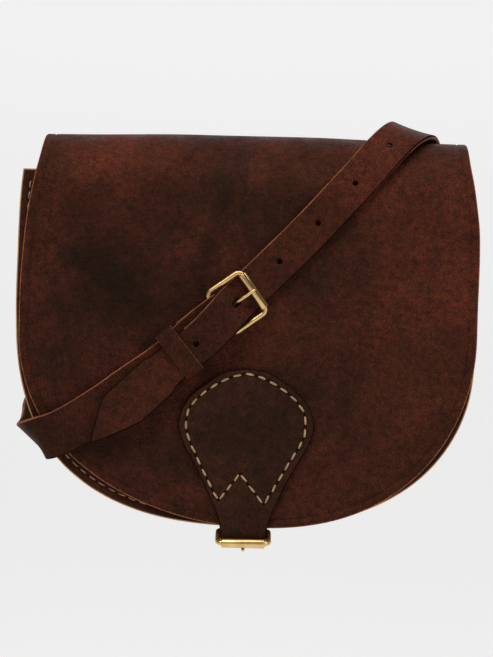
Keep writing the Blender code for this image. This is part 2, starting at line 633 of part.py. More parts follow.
def strap_pieces(leather, thread):
    left = left_strap_path()
    heel = Vector(frame_point(0.0, STRAP_HEEL_D))
    ring = [s for s, p in zip(left.lengths, left.points) if (p - heel).length < 4.0]
    narrow = left.length - 80.0
    low, high = ring[0] - 1.5, ring[-1] + 1.5
    edge = [(11.8, 0), (11.8, narrow - 14), (10.4, narrow + 8), (10.4, low)]
    turn, end = [(10.4, low), (10.4, high)], [(10.4, high), (10.4, left.length)]
    loop = outline_of([edge, turn, end, [(10.4, left.length), (-10.4, left.length)],
                       [(-w, s) for w, s in reversed(end)], [(-w, s) for w, s in reversed(turn)],
                       [(-w, s) for w, s in reversed(edge)], [(-11.8, 0), (11.8, 0)]],
                      [5.0, 0.9, 4.0, 5.0, 4.0, 0.9, 5.0, 6.0])
    hole = outline_of([[(2.0, low), (2.0, high)], [(2.0, high), (-2.0, high)],
                       [(-2.0, high), (-2.0, low)], [(-2.0, low), (2.0, low)]], [0.9, 4.0] * 2)

    def left_thickness(s):
        return STRAP_LEATHER - 0.9 * min(max((s - low + 8.0) / 6.0, 0.0), 1.0)
    sheet("strap_left", loop, strap_surface(left), left_thickness, (9.0, 4.0, (low, high, 0.9)),
          leather, [hole])

    right = right_strap_path()
    tip, edge = [(0.3, 0.0), (11.8, 21.5)], [(11.8, 21.5), (11.7, 48.0), (10.3, 55.0),
                                              (10.3, 70.0), (10.5, 80.0), (10.5, right.length)]
    other = [(-w, s) for w, s in edge[:0:-1]] + [(-11.8, 27.0)]
    loop = outline_of([tip, edge, [(10.5, right.length), (-10.5, right.length)], other,
                       [(-11.8, 27.0), (0.3, 0.0)]], 6.0)
    middle = right.nearest(*PRONG_HOLE)
    holes = [slot(0, middle - 1.9, 1.8, 5.0)]
    for x, z in ((-28.0, 94.2), (14.9, 138.4), (35.2, 159.2)):
        holes.append(slot(0, right.nearest(x, z), 1.5, 1.5))
    third = right.nearest(35.2, 159.2)
    holes += [slot(0, third + 28.6 * k, 1.5, 1.5) for k in (1, 2)]
    sheet("strap_right", loop, strap_surface(right), STRAP_LEATHER, (7.0, 4.4), leather, holes)

    for name, path, first in (("strap_left_thread", left, 3.0),
                              ("strap_right_thread", right, right.length - 3.0)):
        step = 1 if first < 10 else -1
        line = [(8.8, first + 20 * step), (8.8, first), (-8.8, first), (-8.8, first + 20 * step),
                (8.0, first + 2 * step)]
        surface = strap_surface(path)
        centres = []
        for w, s in resample(line[:4], 5.5) + resample(line[3:], 5.5)[1:]:
            point, normal = surface(w, s)
            centres.append(point + normal * (STRAP_LEATHER / 2 + 0.75))
        tube(name, centres, 0.4, 5, thread)


def keeper_piece(leather):
    """A band round both straps that slides on them."""
    a = math.radians(39.5)
    along, side = Vector((math.cos(a), 0, math.sin(a))), Vector((math.sin(a), 0, -math.cos(a)))
    out = Vector((0, 1, 0))
    centre = Vector((-35.5, 71.3, 89.0))
    points, faces = [], []
    rows = []
    for half_w, half_d, r in ((14.4, 5.1, 2.4), (12.8, 3.5, 1.1)):
        ring = []
        for sx, sd, start in ((1, 1, 0), (-1, 1, 90), (-1, -1, 180), (1, -1, 270)):
            for k in range(4):
                t = math.radians(start + 30 * k)
                ring.append(side * (sx * (half_w - r) + r * math.cos(t))
                            + out * (sd * (half_d - r) + r * math.sin(t)))
        rows.append(ring)
    n = len(rows[0])
    for end in (-5.0, 5.0):
        for ring in rows:
            points += [centre + along * end + p for p in ring]
    for k in range(n):
        m = (k + 1) % n
        faces += [(k, m, 2 * n + m, 2 * n + k), (n + m, n + k, 3 * n + k, 3 * n + m),
                  (m, k, n + k, n + m), (2 * n + k, 2 * n + m, 3 * n + m, 3 * n + k)]
    finish("strap_keeper", points, faces, leather, tuple(centre))


def build():
    for old in list(bpy.data.objects):
        bpy.data.objects.remove(old, do_unlink=True)
    leather = material("brown_leather", LEATHER_BROWN, 0.5, 0.0)
    thread = material("tan_thread", THREAD_TAN, 0.8, 0.0)
    brass = material("pale_brass", BRASS, 0.22, 1.0)
    body_pieces(leather, thread)
    flap_pieces(leather, thread)
    chape_pieces(leather, thread)
    buckle_pieces(brass)
    strap_pieces(leather, thread)
    keeper_piece(leather)


build()
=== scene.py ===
"""Looks of the leather saddle bag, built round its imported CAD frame."""

import math

import bpy
import numpy as np
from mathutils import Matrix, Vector
from mathutils.geometry import delaunay_2d_cdt


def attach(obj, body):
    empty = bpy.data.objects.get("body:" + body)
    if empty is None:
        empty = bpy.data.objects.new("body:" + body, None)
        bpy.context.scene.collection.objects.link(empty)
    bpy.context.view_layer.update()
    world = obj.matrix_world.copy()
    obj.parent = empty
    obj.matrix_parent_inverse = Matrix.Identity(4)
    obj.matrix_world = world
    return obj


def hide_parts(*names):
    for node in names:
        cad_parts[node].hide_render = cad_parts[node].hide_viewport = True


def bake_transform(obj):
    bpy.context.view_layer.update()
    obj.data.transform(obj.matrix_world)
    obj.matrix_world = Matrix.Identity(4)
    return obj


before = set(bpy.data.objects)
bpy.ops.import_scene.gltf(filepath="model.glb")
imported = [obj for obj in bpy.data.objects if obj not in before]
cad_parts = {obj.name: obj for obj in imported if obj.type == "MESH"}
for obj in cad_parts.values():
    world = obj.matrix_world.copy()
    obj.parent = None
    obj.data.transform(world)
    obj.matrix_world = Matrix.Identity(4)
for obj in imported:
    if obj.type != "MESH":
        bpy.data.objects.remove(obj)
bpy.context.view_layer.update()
random = np.random.default_rng(7)

# ---- dimensions, mm; the same frame as the CAD: x right, d forward, z up ----------------
ORIGIN_Z = 163.0
HALF_WIDTH, ROUND_Z, BOTTOM_Z, PANEL_TOP_Z, HINGE_Z = 121.6, 100.0, -2.3, 184.5, 190.0
LEATHER = 2.8
FRONT_D, FLAP_D, CREST_Z, CREST_START_Z = 61.4, 64.4, 205.8, 174.0
CREST_SAG, BODY_LEAN, FLAP_LEAN = 1.6, -1.8, 2.2
BACK_TOP_Z = 178.0                         # above this the back panel narrows to the fold
BODY_POWER = 2.4                           # of the superellipse that rounds the D
SEAM_INSET, GUSSET_INSET = 6.0, 9.0
FRONT_SEAM_INSET = 4.7                     # where the front seam shows; the CAD's is SEAM_INSET
FLAP_CREASE, SEAM_PITCH, SEAM_THREAD = 4.6, 6.0, 0.4
STRAP_HOLE, STRAP_HOLE_PITCH = 1.5, 28.6   # radius, and the spacing past the third hole
TAB_D, TAB_LEATHER = 67.35, 2.5
ROD = 1.4
FRAME_ANGLE, STRAP_ANGLE = math.radians(36.0), math.radians(45.5)
PRONG_HOLE, BUCKLE_HALF = (-6.2, 116.0), 10.6
STRAP_HEEL_D, STRAP_ROLLER_D = 70.0, 71.6
CLOSURE_HEEL, CLOSURE_ROLLER, CLOSURE_X = (51.5, -5.6), (69.7, -10.3), 0.3


# ---- lines and paths -------------------------------------------------------------------
def catmull(points, per_span):
    """A smooth curve through the points, each a tuple of numbers."""
    ends = [tuple(2 * a - b for a, b in zip(points[0], points[1]))]
    ends += list(points)
    ends += [tuple(2 * a - b for a, b in zip(points[-1], points[-2]))]
    out = []
    for p0, p1, p2, p3 in zip(ends, ends[1:], ends[2:], ends[3:]):
        for k in range(per_span):
            t = k / per_span
            out.append(tuple(
                0.5 * (2 * b + (c - a) * t + (2 * a - 5 * b + 4 * c - e) * t * t
                       + (3 * b - a - 3 * c + e) * t ** 3)
                for a, b, c, e in zip(p0, p1, p2, p3)))
    return out + [tuple(points[-1])]


def unit(rows):
    return rows / np.maximum(np.linalg.norm(rows, axis=1, keepdims=True), 1e-12)


class Path:
    """A line in space with the leather's outward normal, read at many distances at once."""

    def __init__(self, keys, per_span=14, flat=False):
        rows = np.array(catmull([tuple(k) for k in keys], per_span))
        self.points, self.normals = rows[:, :3], unit(rows[:, 3:6])
        steps = np.linalg.norm(np.diff(self.points, axis=0), axis=1)
        self.lengths = np.concatenate([[0.0], np.cumsum(steps)])
        self.length = float(self.lengths[-1])
        along = np.gradient(self.points, self.lengths, axis=0)
        side = unit(np.cross(along, self.normals))
        if flat:
            side = np.tile([1.0, 0.0, 0.0], (len(rows), 1))
            self.normals = unit(np.cross(along, side))
            outward = np.einsum("ij,ij->i", self.normals, unit(rows[:, 3:6])).sum()
            self.normals *= np.sign(outward)
        else:
            self.normals = unit(np.cross(side, along))
        self.side = side

    def place(self, w, s):
        """Middle points and normals of flat-pattern points (w across, s along)."""
        def read(rows):
            return np.stack([np.interp(s, self.lengths, rows[:, k]) for k in range(3)], axis=1)
        middle = read(self.points) + read(self.side) * np.asarray(w)[:, None]
        return middle, unit(read(self.normals))

    def nearest(self, x, z):
        return float(self.lengths[np.argmin((self.points[:, 0] - x) ** 2
                                            + (self.points[:, 2] - z) ** 2)])


def resample(line, step):
    line = np.asarray(line, float)
    at = np.concatenate([[0.0], np.cumsum(np.linalg.norm(np.diff(line, axis=0), axis=1))])
    count = max(1, round(at[-1] / step))
    goals = np.linspace(0, at[-1], count + 1)
    return [tuple(np.interp(g, at, line[:, k]) for k in range(line.shape[1])) for g in goals]


def outline_of(lines, step):
    steps = step if isinstance(step, (list, tuple)) else [step] * len(lines)
    loop = []
    for line, one in zip(lines, steps):
        loop += resample(line, one)[:-1]
    area = sum(a[0] * b[1] - b[0] * a[1] for a, b in zip(loop, loop[1:] + loop[:1]))
    return np.array(loop if area > 0 else loop[::-1])


def inside(loop, points):
    found = np.zeros(len(points), bool)
    for (xa, ya), (xb, yb) in zip(loop, np.roll(loop, -1, axis=0)):
        hit = (ya > points[:, 1]) != (yb > points[:, 1])
        if ya != yb:
            found ^= hit & (points[:, 0] < (xb - xa) * (points[:, 1] - ya) / (yb - ya) + xa)
    return found


def distance_to(line, points, closed=True):
    """Distance of each point to a polyline."""
    line = np.asarray(line, float)
    ends = np.roll(line, -1, axis=0) if closed else line[1:]
    starts = line if closed else line[:-1]
    best = np.full(len(points), 1e9)
    for a, b in zip(starts, ends):
        ab = b - a
        t = np.clip(((points - a) @ ab) / max(ab @ ab, 1e-12), 0, 1)
        best = np.minimum(best, np.linalg.norm(points - a - t[:, None] * ab, axis=1))
    return best


def moved(line, distance, closed=True):
    """The line moved to its left, with its corners mitred."""
    line = np.asarray(line, float)
    if closed:
        before, after = np.roll(line, 1, axis=0), np.roll(line, -1, axis=0)
    else:
        before = np.vstack([2 * line[:1] - line[1:2], line[:-1]])
        after = np.vstack([line[1:], 2 * line[-1:] - line[-2:-1]])
    a, b = unit(line - before), unit(after - line)
    mitre = unit(np.stack([-(a + b)[:, 1], (a + b)[:, 0]], axis=1))
    normal = np.stack([-a[:, 1], a[:, 0]], axis=1)
    scale = 1.0 / np.maximum(np.einsum("ij,ij->i", mitre, normal), 0.6)
    return line + mitre * (distance * scale)[:, None]


def rectangle(half, low, high, step=0.9):
    """A rectangle 2 * half across, from low to high in the second direction."""
    return outline_of([[(half, low), (half, high)], [(half, high), (-half, high)],
                       [(-half, high), (-half, low)], [(-half, low), (half, low)]], step)


# ---- leather -----------------------------------------------------------------------------
def link(name, data):
    """A new object in the scene."""
    made = bpy.data.objects.new(name, data)
    bpy.context.scene.collection.objects.link(made)
    return made


def finish(name, points, faces, looks, slots=None, sharp=40):
    """A smooth-shaded object from points in millimetres (x right, d forward, z up)."""
    mesh = bpy.data.meshes.new(name)
    points = np.asarray(points, float)
    world = np.stack([points[:, 0], -points[:, 1], points[:, 2] - ORIGIN_Z], axis=1) / 1000.0
    mesh.from_pydata(world.tolist(), [], faces)
    for look in looks:
        mesh.materials.append(look)
    if slots is not None:
        mesh.polygons.foreach_set("material_index", slots)
    mesh.polygons.foreach_set("use_smooth", [True] * len(faces))
    mesh.update()
    mesh.set_sharp_from_angle(angle=math.radians(sharp))
    return link(name, mesh)


def sheet(name, loop, surface, thickness, step, looks, holes=(), crease=None, grooves=(),
          bevel=0.7, fine=None, relief=None, rim=0.0, dark=0.0):
    """Leather cut to a flat pattern: rounded cut edges, pressed creases and stitch grooves.

    looks are its grain, cut-edge and flesh materials. rim is how far the cut edge's colour comes
    round onto the grain, the same all round or a function of the pattern's points; a rim on one
    side only is painted light on that side. A fourth look is for holes, grooves and a dark line,
    dark millimetres wide, round the rest of the outline: painted shade in the holes and grooves
    and along the shaded edges, partly a dark burnished edge. fine is (low, high, step) in the
    pattern's second direction, for a tight bend.
    """
    rings = [loop] + [moved(loop, bevel * k) for k in (0.2, 0.55, 1.0)]
    if crease:
        rings += [moved(loop, crease + k) for k in (-0.8, 0.0, 0.8)]
    for hole in holes:
        rings += [hole, moved(hole[::-1], -0.5)]
    points, edges = [], []
    for ring in rings:
        first = len(points)
        points += [tuple(p) for p in ring]
        edges += [(first + k, first + (k + 1) % len(ring)) for k in range(len(ring))]
    for groove in grooves:
        for k in (-1.3, -0.6, 0.0, 0.6, 1.3):
            line = moved(groove, k, closed=False)
            first = len(points)
            points += [tuple(p) for p in line]
            edges += [(first + k, first + k + 1) for k in range(len(line) - 1)]
    low, high = loop.min(axis=0), loop.max(axis=0)
    ys, y = [], low[1] + step / 2
    while y < high[1]:
        ys.append(y)
        y += fine[2] if fine and fine[0] - step / 2 < y < fine[1] else step
    across = max(step, 1.2)
    xs = np.arange(low[0] + across / 2, high[0], across)
    grid = np.stack(np.meshgrid(xs, ys), axis=-1).reshape(-1, 2)
    grid[:, 0] += 0.25 * across * ((np.arange(len(grid)) // len(xs)) % 2)
    keep = inside(loop, grid)
    border = np.array(points)
    reach = 0.5 * min(step, fine[2] * 1.5 if fine else step)
    for start in range(0, len(grid), 2000):
        part = grid[start:start + 2000]
        gap = np.linalg.norm(part[:, None, :] - border[None, :, :], axis=2).min(axis=1)
        keep[start:start + 2000] &= gap > reach
    points += [tuple(p) for p in grid[keep]]
    made = delaunay_2d_cdt([Vector(p) for p in points], edges, [], 1, 1e-4)
    flat = np.array([tuple(p) for p in made[0]])
    faces = np.array([tuple(f) for f in made[2] if len(f) == 3])
    centres = flat[faces].mean(axis=1)
    keep = inside(loop, centres)
    for hole in holes:
        keep &= ~inside(hole, centres)
    faces = faces[keep]

    t = thickness(flat[:, 1]) if callable(thickness) else np.full(len(flat), float(thickness))
    edge = distance_to(loop, flat)
    for hole in holes:
        edge = np.minimum(edge, distance_to(hole, flat) * 1.3)
    r = bevel
    fall = r - np.sqrt(np.maximum(r * r - (r - np.minimum(edge, r)) ** 2, 0))
    below = t / 2 - np.where(edge < r, fall, 0)
    top = below
    if crease:
        top = top - 0.55 * np.exp(-((edge - crease) / 0.55) ** 2)
    for groove in grooves:
        top = top - 0.45 * np.exp(-(distance_to(groove, flat, False) / 0.6) ** 2)
    middle, normal = surface(flat[:, 0], flat[:, 1])
    if relief is not None:
        lift = relief(flat[:, 0], flat[:, 1], edge)[:, None]
        middle = middle + normal * lift
    n = len(flat)
    points = np.concatenate([middle + normal * top[:, None], middle - normal * below[:, None]])
    used = {(int(f[k]), int(f[(k + 1) % 3])) for f in faces for k in range(3)}
    walls = [(b, a, n + a, n + b) for a, b in used if (b, a) not in used]
    sides = [tuple(map(int, f)) for f in faces]
    sides += [tuple(int(n + i) for i in f[::-1]) for f in faces]
    centres = flat[faces].mean(axis=1)
    rims = rim(centres) if callable(rim) else np.full(len(faces), float(rim))
    outer = distance_to(loop, centres)
    # slot 1 is the cut edge's colour, painted light where the rim covers one side only; slot 3 is
    # the dark band, painted shade partly standing for a dark burnished edge
    slots = np.where(outer < rims, 1, np.where(outer < dark, 3, 0)).tolist() + [2] * len(faces)
    # stitch grooves take the near-black fourth look: painted shade in the grooves
    if dark:
        for groove in grooves:
            for k in np.flatnonzero(distance_to(groove, centres, False) < 0.55):
                slots[k] = 3
    outer = distance_to(loop, flat)
    # hole walls take the near-black fourth look: painted shade inside the holes
    shaded_hole_wall_slot = 3 if len(looks) > 3 else 0
    slots += [1 if outer[a] < 0.1 else shaded_hole_wall_slot for a, b, _, _ in walls]
    all_faces = sides + walls
    # turn every face round if the sheet came out with its grain side inwards
    world = points * [1, -1, 1]
    a, b, c = (world[faces[:, k]] for k in range(3))
    out = normal[faces[:, 0]] * [1, -1, 1]
    if np.einsum("ij,ij->i", np.cross(b - a, c - a), out).sum() < 0:
        all_faces = [f[::-1] for f in all_faces]
    used_points = np.zeros(len(points), bool)
    for f in all_faces:
        used_points[list(f)] = True
    index = np.cumsum(used_points) - 1
    all_faces = [tuple(int(index[i]) for i in f) for f in all_faces]
    return finish(name, points[used_points], all_faces, looks, slots)


def outward(points, faces):
    """The faces of a closed mesh, all turned round if they face inwards."""
    world = np.array(points) * [1, -1, 1]
    volume = sum(world[f[0]] @ np.cross(world[f[k]], world[f[k + 1]])
                 for f in faces for k in range(1, len(f) - 1))
    return faces if volume > 0 else [f[::-1] for f in faces]


def circle(cx, cy, radius, count=20):
    return np.array([(cx + radius * math.cos(2 * math.pi * k / count),
                      cy + radius * math.sin(2 * math.pi * k / count)) for k in range(count)])


def rounded_slot(cx, cy, rx, ry, count=10):
    """A stadium-shaped hole, long in the second direction."""
    out = []
    for start, oy in ((0, ry - rx), (180, rx - ry)):
        for k in range(count + 1):
            a = math.radians(start + 180 * k / count)
            out.append((cx + rx * math.cos(a), cy + oy + rx * math.sin(a)))
    return np.array(out)


# ---- materials -----------------------------------------------------------------------------
def nodes_for(name):
    made = bpy.data.materials.new(name)
    made.use_nodes = True
    tree = made.node_tree
    shader = tree.nodes["Principled BSDF"]
    return made, tree, shader


def noise(tree, where, scale, detail, rough=0.55, distortion=0.0):
    node = tree.nodes.new("ShaderNodeTexNoise")
    node.inputs["Scale"].default_value = scale
    node.inputs["Detail"].default_value = detail
    node.inputs["Roughness"].default_value = rough
    node.inputs["Distortion"].default_value = distortion
    tree.links.new(where, node.inputs["Vector"])
    return node.outputs["Fac"]


def ramp(tree, value, stops):
    node = tree.nodes.new("ShaderNodeValToRGB")
    while len(node.color_ramp.elements) < len(stops):
        node.color_ramp.elements.new(0.5)
    for element, (at, colour) in zip(node.color_ramp.elements, stops):
        element.position = at
        element.color = (*colour, 1.0) if len(colour) == 3 else colour
    tree.links.new(value, node.inputs["Fac"])
    return node.outputs["Color"]


def mix(tree, a, b, factor, kind="MIX"):
    node = tree.nodes.new("ShaderNodeMix")
    node.data_type, node.blend_type = "RGBA", kind
    if isinstance(factor, float):
        node.inputs[0].default_value = factor
    else:
        tree.links.new(factor, node.inputs[0])
    for value, socket in ((a, node.inputs[6]), (b, node.inputs[7])):
        if isinstance(value, tuple):
            socket.default_value = (*value, 1.0)
        else:
            tree.links.new(value, socket)
    return node.outputs[2]


def math_node(tree, kind, a, b):
    node = tree.nodes.new("ShaderNodeMath")
    node.operation = kind
    for value, socket in ((a, node.inputs[0]), (b, node.inputs[1])):
        if isinstance(value, (int, float)):
            socket.default_value = value
        else:
            tree.links.new(value, socket)
    return node.outputs[0]


def bump(tree, height, strength, distance, before=None):
    node = tree.nodes.new("ShaderNodeBump")
    node.inputs["Strength"].default_value = strength
    node.inputs["Distance"].default_value = distance
    tree.links.new(height, node.inputs["Height"])
    if before:
        tree.links.new(before, node.inputs["Normal"])
    return node.outputs["Normal"]


def leather_look(name, dark, mid, warm, light_and_tone_patches=(), roughness=0.60):
    """Waxed full-grain leather: pebbled grain, pores, creases, scratches and cloudy, rubbed dye.

    The patches are places (x, y, z, radius, shade) where the colour is multiplied darker or paler:
    the paler ones are painted light where the lighting falls brighter, the darker ones darken the
    colour."""
    made, tree, shader = nodes_for(name)
    where = tree.nodes.new("ShaderNodeTexCoord").outputs["Object"]
    warp = noise(tree, where, 22.0, 5.0, 0.62, 0.6)
    colour = ramp(tree, warp, [(0.34, dark), (0.50, mid), (0.66, warm)])
    mottled = ramp(tree, noise(tree, where, 330.0, 5.0, 0.75, 0.3),
                   [(0.34, (0.42, 0.52, 0.58)), (0.50, (0.98, 0.98, 0.98)),
                    (0.68, (1.62, 1.26, 1.22))])
    colour = mix(tree, colour, mottled, 1.0, "MULTIPLY")
    cells = tree.nodes.new("ShaderNodeTexVoronoi")
    cells.feature = "DISTANCE_TO_EDGE"
    cells.inputs["Scale"].default_value = 620.0
    bent = tree.nodes.new("ShaderNodeTexNoise")
    bent.inputs["Scale"].default_value = 300.0
    tree.links.new(where, bent.inputs["Vector"])
    shifted = tree.nodes.new("ShaderNodeVectorMath")
    shifted.operation = "MULTIPLY_ADD"
    tree.links.new(bent.outputs["Color"], shifted.inputs[0])
    shifted.inputs[1].default_value = (0.0012, 0.0012, 0.0012)
    tree.links.new(where, shifted.inputs[2])
    tree.links.new(shifted.outputs[0], cells.inputs["Vector"])
    pebble = ramp(tree, cells.outputs["Distance"], [(0.0, (0, 0, 0)), (0.25, (1, 1, 1))])
    colour = mix(tree, colour, mix(tree, (0.50, 0.48, 0.48), (1.10, 1.10, 1.10), pebble), 0.75,
                 "MULTIPLY")
    # paler patches paint light onto the leather; darker ones darken its colour
    for x, y, z, radius, shade in light_and_tone_patches:
        away = tree.nodes.new("ShaderNodeVectorMath")
        away.operation = "DISTANCE"
        tree.links.new(where, away.inputs[0])
        away.inputs[1].default_value = (x, y, z)
        ragged = math_node(tree, "ADD", away.outputs["Value"],
                           math_node(tree, "MULTIPLY",
                                     math_node(tree, "SUBTRACT", warp, 0.5), radius * 1.3))
        fade = ramp(tree, math_node(tree, "DIVIDE", ragged, radius),
                    [(0.0, shade), (0.35, tuple(0.75 * s + 0.25 for s in shade)),
                     (1.0, (1, 1, 1))])
        colour = mix(tree, colour, fade, 1.0, "MULTIPLY")
    tree.links.new(colour, shader.inputs["Base Color"])
    rough = ramp(tree, noise(tree, where, 90.0, 4.0, 0.65), [(0.3, (roughness - 0.10,) * 3),
                                                            (0.7, (roughness + 0.12,) * 3)])
    tree.links.new(rough, shader.inputs["Roughness"])
    stretch = tree.nodes.new("ShaderNodeMapping")
    stretch.inputs["Scale"].default_value = (30.0, 30.0, 230.0)
    stretch.inputs["Rotation"].default_value = (0.0, 0.6, 0.2)
    tree.links.new(where, stretch.inputs["Vector"])
    scratch = noise(tree, stretch.outputs["Vector"], 1.0, 4.0, 0.7, 0.5)
    normal = bump(tree, noise(tree, where, 38.0, 5.0, 0.58), 0.55, 0.0016)
    normal = bump(tree, scratch, 0.55, 0.0008, normal)
    normal = bump(tree, noise(tree, where, 420.0, 4.0, 0.65), 0.55, 0.0006, normal)
    normal = bump(tree, pebble, 0.55, 0.00035, normal)
    tree.links.new(normal, shader.inputs["Normal"])
    shader.inputs["Specular IOR Level"].default_value = 0.13
    shader.inputs["Specular Tint"].default_value = (1.0, 0.62, 0.45, 1.0)
    return made


def fibre_look(name, colours, pattern, fuzz, roughness, **inputs):
    """A raw edge, a suede underside or thread: two mixed colours and a fine fibrous bump.

    colours are stops of a ramp, pattern the noise behind them, fuzz the bump's noise, strength
    and distance."""
    made, tree, shader = nodes_for(name)
    where = tree.nodes.new("ShaderNodeTexCoord").outputs["Object"]
    tree.links.new(ramp(tree, noise(tree, where, *pattern), colours), shader.inputs["Base Color"])
    tree.links.new(bump(tree, noise(tree, where, *fuzz[0]), *fuzz[1:]), shader.inputs["Normal"])
    shader.inputs["Roughness"].default_value = roughness
    for key, value in inputs.items():
        shader.inputs[key.replace("_", " ")].default_value = value
    return made


def edge_look(name, light, dark, gloss=0.15):
    """A burnished raw edge: fibres in thin layers, tan where the dye wears off."""
    return fibre_look(name, [(0.3, dark), (0.62, light)], (90.0, 4.0, 0.7),
                      ((1400.0, 3.0), 0.5, 0.0003), 0.7, Specular_IOR_Level=gloss)


def flesh_look(name, light, dark):
    """The suede underside."""
    return fibre_look(name, [(0.3, dark), (0.7, light)], (70.0, 6.0, 0.7),
                      ((900.0, 4.0, 0.7), 0.6, 0.0006), 0.9, Specular_IOR_Level=0.04,
                      Specular_Tint=(1.0, 0.6, 0.4, 1.0))


def thread_look(name, dark, light):
    return fibre_look(name, [(0.3, dark), (0.7, light)], (400.0, 3.0),
                      ((2500.0, 2.0), 0.6, 0.0003), 0.7, Sheen_Weight=0.3)


def brass_look(name):
    made, tree, shader = nodes_for(name)
    where = tree.nodes.new("ShaderNodeTexCoord").outputs["Object"]
    colour = ramp(tree, noise(tree, where, 120.0, 3.0), [(0.3, (0.58, 0.37, 0.14)),
                                                         (0.7, (0.80, 0.56, 0.25))])
    tree.links.new(colour, shader.inputs["Base Color"])
    rough = ramp(tree, noise(tree, where, 300.0, 4.0), [(0.35, (0.27,) * 3), (0.7, (0.37,) * 3)])
    tree.links.new(rough, shader.inputs["Roughness"])
    tree.links.new(bump(tree, noise(tree, where, 260.0, 2.0), 0.03, 0.0003),
                   shader.inputs["Normal"])
    shader.inputs["Metallic"].default_value = 1.0
    return made


# the flap's paler patches, at the right and the upper left, are painted light; the darker ones
# darken the centre and left
GRAIN = leather_look("leather_flap", (0.0245, 0.0080, 0.0044), (0.046, 0.0122, 0.0064),
                     (0.070, 0.0172, 0.0090),
                     [(-0.066, -0.066, -0.022, 0.062, (0.55, 0.62, 0.66)),
                      (-0.020, -0.066, -0.110, 0.045, (0.80, 0.84, 0.86)),
                      (0.018, -0.066, 0.000, 0.065, (0.70, 0.80, 0.80)),
                      (0.090, -0.066, -0.020, 0.080, (1.30, 1.16, 1.14)),
                      (-0.092, -0.066, -0.078, 0.056, (0.56, 0.62, 0.66)),
                      (-0.066, -0.066, -0.134, 0.044, (0.62, 0.68, 0.72)),
                      (-0.080, -0.050, 0.035, 0.060, (1.50, 1.28, 1.22))])
# the strap's paler patch at the upper right is painted light; the darker one darkens the lower
# left
STRAP_GRAIN = leather_look("leather_strap", (0.0240, 0.0074, 0.0036), (0.041, 0.0108, 0.0054),
                           (0.062, 0.0150, 0.0076),
                           [(0.095, -0.070, 0.030, 0.110, (1.65, 1.40, 1.32)),
                            (-0.088, -0.070, -0.105, 0.060, (0.70, 0.75, 0.77))], 0.56)
TAB_GRAIN = leather_look("leather_tab", (0.0185, 0.0076, 0.0042), (0.029, 0.0106, 0.0060),
                         (0.040, 0.0138, 0.0080))
EDGE = edge_look("leather_cut_edge", (0.27, 0.085, 0.032), (0.10, 0.030, 0.013))
# near-black: the tab's dark cut edge, and painted shade in holes, grooves and along shaded strap
# edges
DARK_EDGE_AND_SHADE = edge_look("leather_tab_edge_and_shade", (0.016, 0.006, 0.0035), (0.007, 0.003, 0.002), 0.0)
BODY_EDGE = edge_look("leather_body_edge", (0.46, 0.27, 0.095), (0.24, 0.120, 0.045))
FLESH = flesh_look("leather_flesh", (0.11, 0.048, 0.028), (0.050, 0.021, 0.012))
THREAD = thread_look("waxed_thread", (0.24, 0.135, 0.052), (0.42, 0.265, 0.120))
THREAD_TAN = thread_look("soiled_thread", (0.20, 0.105, 0.050), (0.40, 0.24, 0.12))
BRASS = brass_look("pale_brass")


# ---- body --------------------------------------------------------------------------------
def body_half(z):
    if z >= ROUND_Z:
        return HALF_WIDTH - 3.4 * max(0.0, (z - 118.0) / 68.0) ** 2
    t = min((ROUND_Z - z) / (ROUND_Z - BOTTOM_Z), 1.0)
    return HALF_WIDTH * (1.0 - t ** BODY_POWER) ** (1 / BODY_POWER)


def ease(t):
    t = np.clip(t, 0.0, 1.0)
    return t * t * (3.0 - 2.0 * t)


def lean(z):
    """How far the body is shifted sideways at a height."""
    return BODY_LEAN * ease((z - 60.0) / 60.0) - 1.3 * ease((z - 130.0) / 50.0)


def body_line(top):
    right = []
    for k in range(97):
        a = math.pi / 2 * (1 - k / 96)
        right.append((HALF_WIDTH * math.cos(a) ** (2 / BODY_POWER),
                      ROUND_Z - (ROUND_Z - BOTTOM_Z) * math.sin(a) ** (2 / BODY_POWER)))
    right += [(body_half(z), z) for z in
              (ROUND_Z + (top - ROUND_Z) * k / 12 for k in range(1, 13))]
    line = [(-x, z) for x, z in reversed(right)] + right[1:]
    return [(x + float(lean(z)), z) for x, z in line]


def front_d(z):
    return FRONT_D - 2.2 * np.maximum(0.0, (z - 120.0) / 66.0) ** 2


def inset(line, distance):
    """The body's line moved towards the inside of the D."""
    return moved(resample(line, 2.5), distance, closed=False)


